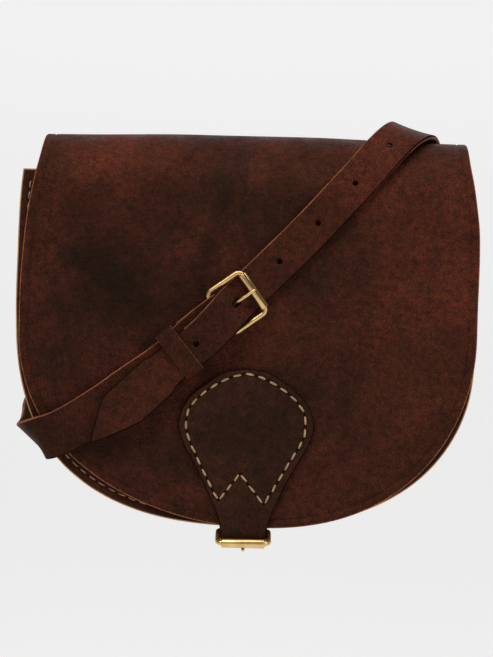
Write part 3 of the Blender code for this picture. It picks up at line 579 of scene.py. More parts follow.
def stitches(name, points, normals, pitch, radius, looks, count=None, tilt=0.0):
    """Saddle stitches along a line on leather, each a plump thread that dips at both ends."""
    points, normals = np.asarray(points), unit(np.asarray(normals, float))
    at = np.concatenate([[0.0], np.cumsum(np.linalg.norm(np.diff(points, axis=0), axis=1))])
    count = count or max(1, round(at[-1] / pitch))
    pitch = at[-1] / count
    length = 0.66 * pitch
    verts, faces = [], []
    rings, sides = 9, 8
    for i in range(count):
        mid = (i + 0.5) * pitch + random.normal(0, 0.12)
        long = length * (1 + random.normal(0, 0.05))
        turn = tilt + random.normal(0, 0.05)
        first = len(verts)
        for j in range(rings):
            u = j / (rings - 1) * 2 - 1
            s = mid + u * long / 2
            p = np.array([np.interp(s, at, points[:, k]) for k in range(3)])
            n = unit(np.array([[np.interp(s, at, normals[:, k]) for k in range(3)]]))[0]
            q = np.array([np.interp(s + 0.3, at, points[:, k]) for k in range(3)])
            p0 = np.array([np.interp(s - 0.3, at, points[:, k]) for k in range(3)])
            along = unit((q - p0)[None, :])[0]
            side = np.cross(along, n)
            p = p + side * turn * u * long / 2
            p = p + n * (radius * 0.75 - 0.9 * radius * abs(u) ** 3)
            thick = radius * (1 - 0.55 * abs(u) ** 3)
            for k in range(sides):
                a = 2 * math.pi * k / sides + u * 1.3
                squash = 1 + 0.10 * math.cos(2 * (a + 5 * u))
                verts.append(p + thick * squash * (math.cos(a) * side + 0.85 * math.sin(a) * n))
        for j in range(rings - 1):
            for k in range(sides):
                a, b = first + j * sides, first + (j + 1) * sides
                faces.append((a + k, b + k, b + (k + 1) % sides, a + (k + 1) % sides))
        faces.append(tuple(first + k for k in range(sides)))
        faces.append(tuple(first + (rings - 1) * sides + k for k in reversed(range(sides))))
    return finish(name, verts, faces, looks, sharp=80)


def swell(x, v, edge):
    """Slow unevenness of a hide that has been folded and carried."""
    wave = (0.5 * np.sin(x * 0.035 + 1.1) * np.sin(v * 0.03 + 0.4)
            + 0.35 * np.sin(x * 0.011 - v * 0.047 + 2.0) + 0.25 * np.sin(x * 0.083 + v * 0.021))
    return 0.28 * wave * np.clip(edge / 20.0, 0, 1)


def flap_keys():
    """Middle of the leather up the back, over the crest and down the front."""
    keys = [(0, 1.4, z, 0, -1, 0) for z in (-20.0, 40.0, 100.0, 150.0, BACK_TOP_Z)]
    mid, half = (1.4 + FLAP_D) / 2, (FLAP_D - 1.4) / 2
    rise = CREST_Z - HINGE_Z
    for k in range(9):
        a = math.pi / 2 * k / 8
        keys.append((0, mid - half * math.cos(a), HINGE_Z + rise * math.sin(a),
                     0, -math.cos(a) * rise, math.sin(a) * half))
    rise = CREST_Z - CREST_START_Z
    for k in range(1, 11):
        a = math.pi / 2 * (1 - k / 10)
        keys.append((0, mid + half * math.cos(a), CREST_START_Z + rise * math.sin(a),
                     0, math.cos(a) * rise, math.sin(a) * half))
    keys += [(0, FLAP_D, z, 0, 1, 0) for z in (165.0, 140.0, 100.0, 50.0, 0.0, -20.0)]
    return keys


def make_hide():
    """The back panel and the flap: one hide, cut with a waist where it folds."""
    path = Path(flap_keys(), 8, flat=True)
    hinge = float(path.lengths[np.argmin(np.abs(path.points[:, 2] - HINGE_Z)
                                         + 100 * (path.points[:, 1] > 3))])
    v0 = hinge - HINGE_Z                       # v of z = 0 on the back panel
    front = float(np.interp(-CREST_START_Z, -path.points[len(path.points) // 2:, 2],
                            path.lengths[len(path.points) // 2:]))
    straight = front + CREST_START_Z           # v of z = 0 on the front
    back = [(x, v0 + z) for x, z in body_line(BACK_TOP_Z)]
    half, drop, shift, power = 121.0, 102.6, 9.5, 2.1     # of the flap's round edge
    upper = [(body_half(BACK_TOP_Z), v0 + BACK_TOP_Z), (117.9, v0 + 181.6), (115.9, v0 + 185.0),
             (113.0, v0 + 188.0), (110.0, hinge), (110.6, hinge + 22), (111.6, hinge + 42),
             (112.3, hinge + 60), (113.3, hinge + 70), (114.8, hinge + 78), (117.3, hinge + 91),
             (119.4, hinge + 104), (120.5, hinge + 118), (half, hinge + 135),
             (half, straight - ROUND_Z)]
    right = catmull(upper, 8)
    lower = []
    for k in range(1, 96):
        a = math.pi / 2 * k / 96
        lower.append((half * math.cos(a) ** (2 / power), math.sin(a) ** (2 / power)))
    across = [(x + shift * t ** 3, straight - ROUND_Z + drop * t) for x, t in lower]
    other = [(-x + shift * t ** 3, straight - ROUND_Z + drop * t) for x, t in reversed(lower)]
    round_edge = ([right[-1]] + across + [(shift, straight + 2.6)] + other
                  + [(-half, right[-1][1])])
    left = [(-x, v) for x, v in reversed(right)]
    loop = outline_of([right, round_edge, left, back], 2.2)
    u = loop[:, 1] - hinge
    loop[:, 0] += FLAP_LEAN * ease(u / 40.0) * ease((150.0 - u) / 75.0)
    loop[:, 0] -= (loop[:, 0] < 0) * 2.0 * ease(u / 24.0) * ease((125.0 - u) / 60.0)
    loop[:, 0] += (loop[:, 0] > 0) * 1.6 * ease(u / 24.0) * ease((95.0 - u) / 50.0)
    back_part = (u < 0) & (u > v0 + (BACK_TOP_Z - 0.1) - hinge)
    loop[:, 0] += np.where(back_part, lean(BACK_TOP_Z) * -u / 12.0, 0.0)

    def surface(x, v):
        middle, normal = path.place(x, v)
        u = v - hinge
        sag = CREST_SAG * ease((np.abs(x) - 30.0) / 90.0) * ease((u - 2.0) / 30.0)
        sag = sag * np.where(u > 45.0, ease((middle[:, 2] - 150.0) / 50.0), 1.0)
        middle[:, 2] -= sag
        return middle, normal

    hide = sheet("hide", loop, surface, LEATHER, 3.2, [GRAIN, EDGE, FLESH], rim=0.5,
                 crease=FLAP_CREASE,
                 relief=lambda x, v, e: swell(x, v, e) * np.clip((v - hinge - 20) / 30, 0, 1))
    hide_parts("back_panel", "flap")
    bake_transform(hide)


def make_body():
    edge = body_line(PANEL_TOP_Z)
    loop = outline_of([edge, [edge[-1], edge[0]]], 2.4)

    def surface(x, z):
        middle = np.stack([x, front_d(z) - LEATHER / 2, z], axis=1)
        return middle, np.tile([0.0, 1.0, 0.0], (len(x), 1))
    seam = inset(edge, FRONT_SEAM_INSET)
    panel = sheet("front_hide", loop, surface, LEATHER, 4.0, [GRAIN, BODY_EDGE, FLESH],
                  grooves=[seam[2:-2]], rim=1.1)
    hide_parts("front_panel")
    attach(panel, "body")

    # the gusset: a strip whose two edges turn outwards and lie against the panels
    line = np.array(resample(edge, 2.5))
    slots, offsets = [], {}
    outer, t, bend = 0.8, 2.0, 2.4            # edge inset, leather, inner radius of the bend

    def offset(distance):
        if distance not in offsets:
            offsets[distance] = moved(line, distance, closed=False)
        return offsets[distance]
    back_flange, turn = 3.1, []
    for k in range(6):
        a = math.pi / 2 * k / 5
        turn.append((GUSSET_INSET - bend + bend * math.sin(a), bend - bend * math.cos(a)))
    # points as (inset, depth from the back flange's outer side, depth from the front one's)
    skin = ([(outer, t, None)] + [(i, t + d, None) for i, d in turn]
            + [(i, None, t + d) for i, d in reversed(turn)] + [(outer, None, t)])
    flesh = [(outer, None, 0.0), (GUSSET_INSET - bend, None, 0.0)]
    wide = [(GUSSET_INSET - bend + (bend + t) * math.sin(a), (bend + t) * (1 - math.cos(a)))
            for a in (math.pi / 10 * k for k in range(1, 6))]
    flesh += [(i, None, d) for i, d in wide] + [(i, d, None) for i, d in reversed(wide)]
    flesh += [(GUSSET_INSET - bend, 0.0, None), (outer, 0.0, None)]
    ring = skin + flesh
    verts = []
    for i in range(len(line)):
        f = float(front_d(line[i][1])) - LEATHER - 0.3
        for inset_by, from_back, from_front in ring:
            p = offset(round(inset_by, 4))[i]
            d = back_flange + from_back if from_back is not None else f - from_front
            verts.append((p[0], d, p[1]))
    m, n = len(ring), len(line)
    faces = []
    for i in range(n - 1):
        for k in range(m):
            a, b = i * m, (i + 1) * m
            faces.append((a + k, a + (k + 1) % m, b + (k + 1) % m, b + k))
            is_edge = k in (len(skin) - 1, m - 1)
            slots.append(1 if is_edge else (0 if k < len(skin) - 1 else 2))
    half = len(skin)
    for base in (0, (n - 1) * m):
        for k in range(half - 1):
            quad = (base + k, base + k + 1, base + m - 2 - k, base + m - 1 - k)
            faces.append(quad if base == 0 else quad[::-1])
            slots.append(1)
    gusset = finish("gusset_strip", verts, outward(verts, faces), [GRAIN, BODY_EDGE, FLESH],
                    slots)
    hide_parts("gusset")
    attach(gusset, "body")

    line = seam[2:-2]
    front = stitches("front_seam_stitches",
                     [(x, float(front_d(z)) - 0.35, z) for x, z in line],
                     [(0, 1, 0)] * len(line), SEAM_PITCH, SEAM_THREAD, [THREAD_TAN])
    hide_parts("front_seam_thread")
    line = inset(body_line(BACK_TOP_Z), SEAM_INSET)[2:-2]
    back = stitches("back_seam_stitches", [(x, -0.05, z) for x, z in line],
                    [(0, -1, 0)] * len(line), SEAM_PITCH, SEAM_THREAD, [THREAD_TAN])
    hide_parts("back_seam_thread")
    for piece in (front, back):
        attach(piece, "body")


# ---- the closing tab -----------------------------------------------------------------------
TAB_SHAPE = [(0.0, 81.7), (11.5, 79.6), (21.3, 73.5), (29.5, 66.8), (34.4, 58.5), (35.8, 50.5),
             (33.2, 41.5), (29.3, 34.5), (25.6, 28.0), (21.9, 21.0), (18.2, 13.0), (14.6, 5.0),
             (12.6, -2.0), (11.9, -8.0), (11.8, -14.0)]
TAB_STITCH = [(0.3, 78.8), (-9.8, 75.9), (-21.6, 68.8), (-29.6, 60.0), (-31.3, 51.0),
              (-29.6, 44.0), (-24.3, 32.4), (-17.8, 19.8), (-13.3, 11.6)]
TAB_STITCH_RIGHT = [(0.3, 78.8), (10.2, 75.9), (22.0, 68.8), (30.0, 60.0), (31.5, 51.0),
                    (29.8, 43.5), (22.6, 31.0), (15.6, 18.5), (10.5, 10.1)]
TAB_PEAK = (-2.2, 26.2)


def make_tab():
    keys = [(0, TAB_D, z, 0, 1, 0) for z in (90.0, 60.0, 30.0, 10.0, 2.0, -2.0)]
    for degrees in (0, 16, 32, 48, 64, 80, 95):
        a = math.radians(degrees)
        keys.append((0, TAB_D - 8 + 8 * math.cos(a), -4 - 8 * math.sin(a),
                     0, math.cos(a), -math.sin(a)))
    for back in (6.0, 14.0, 28.0, 40.0):
        keys.append((0, 58.65 - back, -11.97 + 0.0872 * back, 0, -0.0872, -0.996))
    path = Path(keys, 8, flat=True)
    v0 = 90.0
    half = catmull(TAB_SHAPE, 8)
    right = [(x, v0 - z) for x, z in half]
    end = path.length - 1.0
    right = right[:-1] + [(11.8, 104.0), (11.2, 112.0), (11.2, end - 9.0)]
    tip = catmull([(11.2, end - 9.0), (9.0, end - 4.0), (5.0, end - 1.0), (0.0, end)], 5)
    right += tip[1:]
    left = [(-x, v) for x, v in reversed(right)]
    loop = outline_of([right, left], 1.4)
    loop[:, 0] += CLOSURE_X
    slot_v = float(path.lengths[np.argmin((path.points[:, 1] - 62.9) ** 2
                                          + (path.points[:, 2] + 11.1) ** 2)])
    half_line = catmull(TAB_STITCH, 8)
    other = catmull(TAB_STITCH_RIGHT, 8)
    outer = [(x, v0 - z) for x, z in list(reversed(half_line)) + other[1:]]
    vee = [(x, v0 - z) for x, z in (half_line[-1], TAB_PEAK, other[-1])]
    grooves = [np.array(resample(outer, 1.6)), np.array(resample(vee[:2], 1.6)),
               np.array(resample(vee[1:], 1.6))]
    # dark band round the tab's outline, in its grooves and in its slot: partly the tab's dark
    # edge, partly painted shade
    tab = sheet("tab", loop, path.place, TAB_LEATHER, 1.9,
                [TAB_GRAIN, DARK_EDGE_AND_SHADE, FLESH, DARK_EDGE_AND_SHADE], dark=0.6,
                holes=[rounded_slot(CLOSURE_X, slot_v + 3.0, 1.6, 6.2)], grooves=grooves,
                fine=(92.0, 110.0, 0.9))
    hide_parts("closure_tab")
    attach(tab, "flap")
    top = TAB_D + TAB_LEATHER / 2 - 0.42
    parts = []
    for k, (line, count) in enumerate(((outer, 27), (vee[:2], 3), (vee[1:], 3))):
        line = resample(line, 1.0)
        parts.append(stitches("tab_stitches_%d" % k, [(x, top, v0 - v) for x, v in line],
                              [(0, 1, 0)] * len(line), 6.9, 0.58, [THREAD], count, 0.05))
    whole = joined("tab_stitches", parts)
    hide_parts("closure_tab_thread")
    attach(whole, "flap")


def joined(name, parts):
    """One object from several meshes."""
    points, faces = [], []
    for part in parts:
        first = len(points)
        points += [v.co.copy() for v in part.data.vertices]
        faces += [tuple(first + i for i in f.vertices) for f in part.data.polygons]
    mesh = bpy.data.meshes.new(name)
    mesh.from_pydata(points, [], faces)
    mesh.materials.append(parts[0].data.materials[0])
    mesh.polygons.foreach_set("use_smooth", [True] * len(faces))
    made = link(name, mesh)
    for part in parts:
        bpy.data.objects.remove(part, do_unlink=True)
    return made


# ---- buckles -------------------------------------------------------------------------------
def rod(centres, radii, sides, closed=False):
    """Points and faces of a rod; radii may change along it."""
    centres = np.asarray(centres, float)
    count = len(centres)
    radii = np.broadcast_to(radii, (count,))
    points, faces, up = [], [], None
    for i in range(count):
        if closed:
            along = centres[(i + 1) % count] - centres[i - 1]
        else:
            along = centres[min(i + 1, count - 1)] - centres[max(i - 1, 0)]
        along = along / np.linalg.norm(along)
        if up is None:
            up = np.array([0.0, 1.0, 0.0]) if abs(along[1]) < 0.8 else np.array([0.0, 0.0, 1.0])
        right = np.cross(along, up)
        right /= np.linalg.norm(right)
        up = np.cross(right, along)
        for k in range(sides):
            a = 2 * math.pi * k / sides
            points.append(centres[i] + radii[i] * (math.cos(a) * right + math.sin(a) * up))
    for i in range(count if closed else count - 1):
        for k in range(sides):
            a, b = i * sides, (i + 1) % count * sides
            faces.append((a + k, b + k, b + (k + 1) % sides, a + (k + 1) % sides))
    if not closed:
        faces.append(tuple(range(sides)))
        faces.append(tuple((count - 1) * sides + k for k in reversed(range(sides))))
    return points, faces


def make_buckle(prefix, heel, roller, wire_half, length, radius, out, bodies, last, bends):
    heel, roller = np.array(heel, float), np.array(roller, float)
    along = (roller - heel) / np.linalg.norm(roller - heel)
    out = np.array(out, float) - along * np.dot(out, along)
    out /= np.linalg.norm(out)
    side = np.cross(along, out)
    corner, reach = 3.0, np.linalg.norm(roller - heel)
    centres = []
    for sx, sy, start in ((1, 1, 90), (1, -1, 0), (-1, -1, -90), (-1, 1, 180)):
        cx, cy = reach / 2 + sx * (reach / 2 - corner), sy * (wire_half - corner)
        for k in range(13):
            a = math.radians(start - 7.5 * k)
            centres.append(heel + along * (cx + corner * math.cos(a))
                           + side * (cy + corner * math.sin(a)))
    dense = []
    for a, b in zip(centres, centres[1:] + centres[:1]):
        steps = max(1, int(np.linalg.norm(b - a) / 1.2))
        dense += [a + (b - a) * k / steps for k in range(steps)]
    points, faces = rod(dense, ROD, 20, closed=True)
    wire = finish(prefix + "_wire", points, outward(points, faces), [BRASS], sharp=80)

    # the rolled sleeve: a tube whose edges meet in a narrow slit
    sides, slit = 44, 0.16
    rows = []
    for u, shrink in ((-0.5, 0.30), (-0.494, 0.1), (-0.485, 0.0), (0.485, 0.0), (0.494, 0.1),
                      (0.5, 0.30)):
        rows.append((u * length, radius - shrink))
    inner = ROD + 0.3
    section = rows + [(0.5 * length, inner), (-0.5 * length, inner)]
    points, faces = [], []
    m = len(section)
    angles = [slit + (2 * math.pi - 2 * slit) * k / (sides - 1) for k in range(sides)]
    turn = math.radians(62)
    for a in angles:
        for u, r in section:
            points.append(roller + side * u + r * (math.cos(a + turn) * along
                                                   + math.sin(a + turn) * out))
    for i in range(sides - 1):
        for k in range(m):
            a, b = i * m, (i + 1) * m
            faces.append((a + k, a + (k + 1) % m, b + (k + 1) % m, b + k))
    faces.append(tuple(reversed(range(m))))
    faces.append(tuple((sides - 1) * m + k for k in range(m)))
    sleeve = finish(prefix + "_sleeve", points, outward(points, faces), [BRASS], sharp=35)

    # the prong: curled round the near bar, low under the leather, then up through its slot
    ring, thick = ROD + 0.3 + 0.85, 0.85
    tip = roller + out * (radius + thick + 0.2) + along * 1.6
    centres = []
    for degrees in range(-200, last + 1, 10):
        a = math.radians(degrees)
        centres.append(heel + ring * (math.sin(a) * along + math.cos(a) * out))
    bends = [heel + along * (reach * a) + out * (np.dot(tip - heel, out) * b + 0.2)
             for a, b in bends]
    line = catmull([tuple(p) for p in [centres[-1], *bends, tip - along * 3.0 + out * 0.1, tip]],
                   9)
    centres += [np.array(p) for p in line[1:]]
    radii = np.full(len(centres), thick)
    radii[-7:] = thick * np.array([1.0, 0.99, 0.97, 0.93, 0.86, 0.72, 0.45])
    points, faces = rod(centres, radii, 16)
    prong = finish(prefix + "_tongue", points, outward(points, faces), [BRASS], sharp=80)
    for piece, node, body in ((wire, "frame", bodies[0]), (sleeve, "roller", bodies[1]),
                              (prong, "prong", bodies[2])):
        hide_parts(prefix + "_" + node)
        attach(piece, body)


def make_buckles():
    u = np.array([math.cos(FRAME_ANGLE), 0, math.sin(FRAME_ANGLE)])
    hole = np.array([PRONG_HOLE[0], 0, PRONG_HOLE[1]])
    make_buckle("strap_buckle", hole - u * BUCKLE_HALF + [0, STRAP_HEEL_D, 0],
                hole + u * BUCKLE_HALF + [0, STRAP_ROLLER_D, 0], 12.8, 21.4, 2.3, (0, 1, 0),
                ("strap_buckle", "strap_roller", "strap_prong"), 100,
                [(0.30, -0.18), (0.46, 0.30), (0.62, 0.80)])
    make_buckle("closure_buckle", (CLOSURE_X, *CLOSURE_HEEL), (CLOSURE_X, *CLOSURE_ROLLER),
                13.4, 22.6, 2.45, (0, 0, -1),
                ("closure_buckle", "closure_roller", "closure_prong"), 60, [(0.55, 0.86)])


def make_chape():
    hd, hz = CLOSURE_HEEL
    keys = [(12, 5.4, 0, 1), (22, 5.4, 0, 1), (30, 5.2, 0.1, 1), (35.5, 3.9, 0.4, 1),
            (41, 0.8, 0.6, 1), (46, -1.7, 0.35, 1)]
    for degrees in (-20, 20, 60, 90, 120, 160, 190):
        a = math.radians(degrees)
        keys.append((hd + 2.7 * math.sin(a), hz + 2.7 * math.cos(a), math.sin(a), math.cos(a)))
    keys += [(46.3, -6.1, -0.45, -1), (41, -2.9, -0.6, -1), (35, 0.8, -0.4, -1),
             (29.5, 2.6, -0.1, -1), (22, 2.9, 0, -1), (15, 2.9, 0, -1)]
    path = Path([(0, d, z, 0, nd, nz) for d, z, nd, nz in keys], 8, flat=True)
    # the grain faces out all the way round the loop
    centre = np.array([0, hd, hz])
    path.normals = unit(np.cross(np.gradient(path.points, path.lengths, axis=0), path.side))
    ringed = np.linalg.norm(path.points - centre, axis=1) < 3.2
    if np.einsum("ij,ij->i", path.normals[ringed], path.points[ringed] - centre).sum() < 0:
        path.normals *= -1
    near = path.lengths[np.linalg.norm(path.points - centre, axis=1) < 4.0]
    low, high, half = near[0] - 3.0, near[-1] + 5.5, 10.6
    loop, hole = rectangle(half, 0, path.length), rectangle(2.0, low, high)

    def surface(x, s):
        middle, normal = path.place(x, s)
        middle[:, 0] += CLOSURE_X
        return middle, normal
    chape = sheet("chape", loop, surface, 2.0, 1.4, [GRAIN, EDGE, FLESH], holes=[hole],
                  bevel=0.45, fine=(low, high, 0.8))
    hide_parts("closure_chape")
    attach(chape, "body")
    line = resample([(-8.2, 29.0), (-8.2, 17.5), (8.2, 17.5), (8.2, 29.0)], 1.0)
    sewn = stitches("chape_stitches", [(x + CLOSURE_X, d, 1.75) for x, d in line],
                    [(0, 0, -1)] * len(line), 4.4, 0.4, [THREAD_TAN])
    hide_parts("closure_chape_thread")
    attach(sewn, "body")


# ---- the shoulder strap ----------------------------------------------------------------------
def frame_point(k, d, tilt=0.0):
    a = FRAME_ANGLE + math.radians(tilt)
    x = PRONG_HOLE[0] - BUCKLE_HALF * math.cos(FRAME_ANGLE) - k * math.cos(a)
    z = PRONG_HOLE[1] - BUCKLE_HALF * math.sin(FRAME_ANGLE) - k * math.sin(a)
    return x, d, z


def left_strap_path():
    keys = [(-103.5, -2.9, 177, 0, -1, 0), (-103.2, -2.9, 163, 0, -1, 0),
            (-102.6, -2.9, 150, 0, -1, 0), (-101.5, -2.9, 128, 0, -1, 0),
            (-101.0, -2.9, 105, 0, -1, 0), (-102.5, -2.9, 86, 0, -1, 0),
            (-106.3, -3.1, 71, 0, -1, 0), (-111.0, -3.2, 61, -0.25, -1, -0.1),
            (-115.8, -1.1, 53.8, -0.75, -0.55, -0.4), (-116.6, 5.5, 49.2, -0.77, -0.1, -0.63),
            (-115.2, 16, 45.2, -0.72, 0, -0.69), (-113.4, 34, 42.8, -0.68, 0, -0.73),
            (-113.0, 50, 41.5, -0.66, 0.05, -0.75), (-111.2, 61.8, 41.4, -0.57, 0.5, -0.65),
            (-106.4, 67.3, 42.2, -0.29, 1, -0.26), (-98.3, 68.5, 45.0, 0, 1, -0.03),
            (-86.4, 69.2, 51.7, 0, 1, 0), (-68.8, 69.7, 63.6, 0, 1, 0),
            (-53.0, 69.7, 76.4, 0, 1, 0), (-36.9, 69.6, 89.8, 0, 1, 0),
            (-29.0, 69.75, 98.0, 0, 1, 0)]
    for k, d, n in ((9.5, 70.2, 0.06), (5.0, 71.8, 0.35)):
        keys.append((*frame_point(k, d, 2.0), -n * math.cos(FRAME_ANGLE), 1,
                     -n * math.sin(FRAME_ANGLE)))
    for degrees in (-15, 20, 55, 90, 125, 155, 180):
        a = math.radians(degrees)
        x, d, z = frame_point(-2.7 * math.sin(a), STRAP_HEEL_D + 2.7 * math.cos(a))
        keys.append((x, d, z, math.sin(a) * math.cos(FRAME_ANGLE), math.cos(a),
                     math.sin(a) * math.sin(FRAME_ANGLE)))
    for k in (3.0, 6.0, 13.0, 21.5):
        keys.append((*frame_point(k, 67.15, 2.0), 0, -1, 0))
    return Path(keys, 8)


def right_strap_path():
    ux, uz = math.cos(STRAP_ANGLE), math.sin(STRAP_ANGLE)
    keys = []
    for a, d, n, shift in (
            (-106.0, 73.1, 0, 0.2), (-85, 73.1, 0, 1.5), (-62, 73.1, 0, 0.9),
            (-46, 73.1, 0, 0.4), (-38, 73.1, 0, -0.2), (-26, 73.6, 0.06, -1.3),
            (-17, 75.0, 0.08, -1.3), (-10, 75.7, -0.02, -0.9), (-5.5, 75.2, -0.25, -0.4),
            (-1.5, 72.6, -0.8, 0), (1.8, 69.6, -0.75, 0), (5.5, 67.8, -0.2, 0),
            (10, 67.55, 0, 0), (24, 67.55, 0, 0), (44, 67.55, 0, 0), (62, 67.55, 0, 0.5),
            (80, 67.6, 0.04, 1.5)):
        x = PRONG_HOLE[0] + a * ux - shift * uz
        z = PRONG_HOLE[1] + a * uz + shift * ux
        keys.append((x, d, z, -n * ux, 1, -n * uz))
    keys += [(58.2, 66.7, 184.6, 0.03, 1, 0.16), (67.0, 64.2, 195.2, 0.1, 1, 0.32),
             (74.8, 58.6, 203.8, 0.22, 0.9, 0.62), (81.6, 49.5, 209.5, 0.32, 0.55, 0.85),
             (86.8, 38, 211.3, 0.3, 0.08, 0.95), (90.8, 24, 209.8, 0.18, -0.35, 0.92),
             (94.8, 9.5, 204.4, 0.08, -0.75, 0.75), (97.4, -0.6, 195.6, 0, -1, 0.4),
             (99.6, -2.9, 184.5, 0, -1, 0.05),
             (101.8, -2.9, 170, 0, -1, 0), (103.2, -2.9, 158, 0, -1, 0),
             (103.8, -2.9, 147, 0, -1, 0)]
    return Path(keys, 8)


def make_straps():
    left = left_strap_path()
    heel = np.array(frame_point(0.0, STRAP_HEEL_D))
    near = left.lengths[np.linalg.norm(left.points - heel, axis=1) < 4.0]
    low, high, narrow = near[0] - 1.5, near[-1] + 1.5, left.length - 80.0
    edge = catmull([(11.8, 0), (11.8, narrow - 40), (11.8, narrow - 14), (10.4, narrow + 8),
                    (10.4, left.length - 40), (10.4, left.length)], 6)
    loop = outline_of([edge, [(10.4, left.length), (-10.4, left.length)],
                       [(-w, s) for w, s in reversed(edge)], [(-11.8, 0), (11.8, 0)]], 1.1)
    hole = rectangle(2.0, low, high)

    def thickness(s):
        return LEATHER - 0.9 * np.clip((s - low + 8.0) / 6.0, 0.0, 1.0)
    # the tan cut-edge colour comes onto the grain on the upper side only, painted light on the
    # edge facing the key light; the dark band round the rest is painted shade along the lower edge
    strap = sheet("strap_buckle_side", loop, left.place, thickness, 1.7,
                  [STRAP_GRAIN, EDGE, FLESH, DARK_EDGE_AND_SHADE], dark=0.55, holes=[hole],
                  fine=(low, high, 0.8), rim=lambda p: np.where(p[:, 0] > 0, 0.5, 0.0))
    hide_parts("strap_left")
    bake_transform(strap)

    right = right_strap_path()
    edge = catmull([(11.8, 21.5), (11.7, 48.0), (10.3, 55.0), (10.3, 70.0), (10.5, 80.0),
                    (10.5, right.length)], 6)
    tip = catmull([(0.3, 0.0), (0.9, 0.5), (6.3, 10.8), (11.3, 20.2), (11.8, 21.5)], 5)
    low_tip = catmull([(-11.8, 27.0), (-9.6, 19.5), (-5.4, 9.5), (-0.4, 0.5), (0.3, 0.0)], 5)
    loop = outline_of([tip, edge, [(10.5, right.length), (-10.5, right.length)],
                       [(-w, s) for w, s in reversed(edge)], [(-11.8, 21.5), (-11.8, 27.0)],
                       low_tip], 1.1)
    middle = right.nearest(*PRONG_HOLE)
    holes = [rounded_slot(0, middle - 1.0, 1.6, 3.6)]
    for x, z in ((-28.0, 94.2), (14.9, 138.4), (35.2, 159.2)):
        holes.append(circle(0, right.nearest(x, z), STRAP_HOLE))
    third = right.nearest(35.2, 159.2)
    holes += [circle(0, third + STRAP_HOLE_PITCH * k, STRAP_HOLE) for k in (1, 2)]
    # the tan cut-edge colour comes onto the grain on the upper side past the tongue only, painted
    # light on the edge facing the key light; the dark band round the rest is painted shade along
    # the lower edge and round the tongue, partly a dark burnished edge
    strap = sheet("strap_hole_side", loop, right.place, LEATHER, 1.7,
                  [STRAP_GRAIN, EDGE, FLESH, DARK_EDGE_AND_SHADE], dark=0.7,
                  holes=holes, rim=lambda p: np.where((p[:, 0] > 0) & (p[:, 1] > 76), 0.5, 0.0))
    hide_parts("strap_right")
    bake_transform(strap)

    for node, path, first in (("strap_left_thread", left, 3.0),
                              ("strap_right_thread", right, right.length - 3.0)):
        step = 1 if first < 10 else -1
        box = [(8.8, first + 20 * step), (8.8, first), (-8.8, first), (-8.8, first + 20 * step),
               (8.8, first + 20 * step)]
        cross = [(8.2, first + step * 0.8), (-8.2, first + 19.2 * step)]
        parts = []
        for k, line in enumerate((box, cross)):
            flat = np.array(resample(line, 1.0))
            middle, normal = path.place(flat[:, 0], flat[:, 1])
            parts.append(stitches(node + "_%d" % k, middle + normal * (LEATHER / 2 - 0.05), normal,
                                  4.9, 0.42, [THREAD_TAN]))
        sewn = joined(node.replace("thread", "stitches"), parts)
        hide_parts(node)
        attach(sewn, "body")


def make_keeper():
    a = math.radians(39.5)
    along = np.array([math.cos(a), 0, math.sin(a)])
    side = np.array([math.sin(a), 0, -math.cos(a)])
    out, centre = np.array([0.0, 1.0, 0.0]), np.array([-35.5, 71.3, 89.0])
    keys, half_w, half_d, r = [], 13.6, 4.3, 1.8
    for sx, sd, start in ((1, 1, 0), (-1, 1, 90), (-1, -1, 180), (1, -1, 270)):
        for k in range(7):
            t = math.radians(start + 15 * k)
            p = (side * (sx * (half_w - r) + r * math.cos(t))
                 + out * (sd * (half_d - r) + r * math.sin(t)))
            keys.append((p, side * math.cos(t) + out * math.sin(t)))
    dense = []
    for (p, n), (q, m) in zip(keys, keys[1:] + keys[:1]):
        steps = max(1, int(np.linalg.norm(q - p) / 1.5))
        for k in range(steps):
            dense.append((p + (q - p) * k / steps, n + (m - n) * k / steps))
    t, wide, b = 1.55, 5.0, 0.35
    section = [(-wide, -t / 2 + b), (-wide, t / 2 - b), (-wide + 0.1, t / 2 - 0.1),
               (-wide + b, t / 2), (wide - b, t / 2), (wide - 0.1, t / 2 - 0.1),
               (wide, t / 2 - b), (wide, -t / 2 + b),
               (wide - b, -t / 2), (-wide + b, -t / 2)]
    points, faces, slots = [], [], []
    m = len(section)
    for p, n in dense:
        n = n / np.linalg.norm(n)
        for u, h in section:
            points.append(centre + p + along * u + n * h)
    count = len(dense)
    for i in range(count):
        for k in range(m):
            a0, b0 = i * m, (i + 1) % count * m
            faces.append((a0 + k, a0 + (k + 1) % m, b0 + (k + 1) % m, b0 + k))
            slots.append(1 if k in (0, 1, 5, 6) else (0 if k in (2, 3, 4) else 2))
    keeper = finish("keeper_band", points, outward(points, faces), [STRAP_GRAIN, EDGE, FLESH],
                    slots, sharp=50)
    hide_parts("strap_keeper")
    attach(keeper, "keeper")


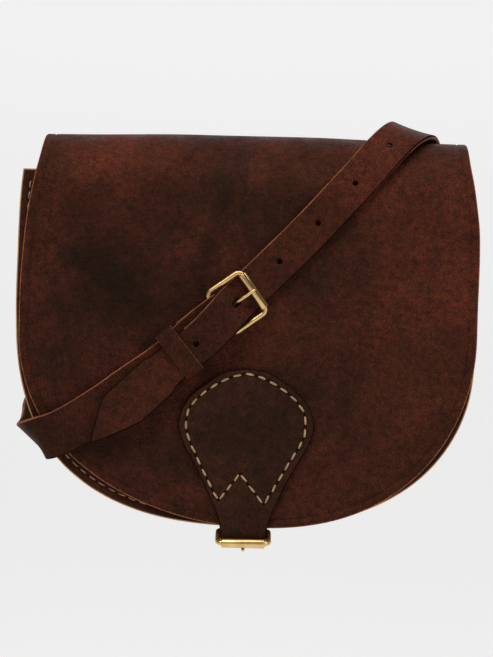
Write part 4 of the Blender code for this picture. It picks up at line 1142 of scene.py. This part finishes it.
# ---- stage ---------------------------------------------------------------------------------
def make_stage():
    """A pale seamless sweep: floor, curve and wall."""
    made, _, shader = nodes_for("seamless_paper")
    shader.inputs["Base Color"].default_value = (0.40, 0.40, 0.40, 1)
    shader.inputs["Roughness"].default_value = 0.95
    shader.inputs["Specular IOR Level"].default_value = 0.0
    shader.inputs["Emission Color"].default_value = (1, 1, 1, 1)
    shader.inputs["Emission Strength"].default_value = 0.655
    profile = [(-30.0, -0.62)] + [(1.9 + 1.2 * math.sin(a), -0.62 + 1.2 - 1.2 * math.cos(a))
                                 for a in (math.pi / 40 * k for k in range(21))] + [(3.1, 5.0)]
    points, faces = [], []
    for x in (-30.0, 30.0):
        points += [(x, y, z) for y, z in profile]
    n = len(profile)
    for k in range(n - 1):
        faces.append((k, n + k, n + k + 1, k + 1))
    mesh = bpy.data.meshes.new("sweep")
    mesh.from_pydata(points, [], faces)
    mesh.materials.append(made)
    mesh.polygons.foreach_set("use_smooth", [True] * len(faces))
    link("sweep", mesh)


def area(name, at, aim, size, power, colour=(1, 1, 1)):
    light = bpy.data.lights.new(name, "AREA")
    light.shape, light.size, light.size_y = "RECTANGLE", size[0], size[1]
    light.energy, light.color = power, colour
    made = link(name, light)
    made.location = at
    made.rotation_euler = (Vector(aim) - Vector(at)).to_track_quat("-Z", "Y").to_euler()


def make_camera():
    data = bpy.data.cameras.new("camera")
    data.sensor_fit, data.sensor_height, data.lens = "VERTICAL", 36.0, 99.8
    data.clip_start, data.clip_end = 0.05, 30.0
    made = link("camera", data)
    made.location = (-0.0008, -1.0258, -0.0605)
    made.rotation_mode = "XYZ"
    made.rotation_euler = (math.radians(90), math.radians(-1.5), 0.0)
    bpy.context.scene.camera = made


def make_lights():
    area("key", (-0.62, -0.95, 1.15), (0, 0, -0.04), (0.8, 0.8), 14, (1.0, 0.97, 0.93))
    area("top", (0.30, -0.45, 1.2), (0, -0.03, 0.0), (1.1, 0.6), 8, (1.0, 0.97, 0.93))
    area("fill", (1.2, -1.1, 0.3), (0, 0, -0.06), (0.9, 1.1), 5)
    area("back", (0.3, 1.4, 0.9), (0, 0, -0.1), (1.0, 0.8), 2)
    world = bpy.data.worlds.new("studio")
    world.use_nodes = True
    world.node_tree.nodes["Background"].inputs["Color"].default_value = (0.9, 0.9, 0.9, 1)
    world.node_tree.nodes["Background"].inputs["Strength"].default_value = 0.16
    bpy.context.scene.world = world
    bpy.context.scene.view_settings.view_transform = "Standard"
    bpy.context.scene.view_settings.look = "None"


make_hide()
make_body()
make_tab()
make_buckles()
make_chape()
make_straps()
make_keeper()
make_stage()
make_lights()
make_camera()
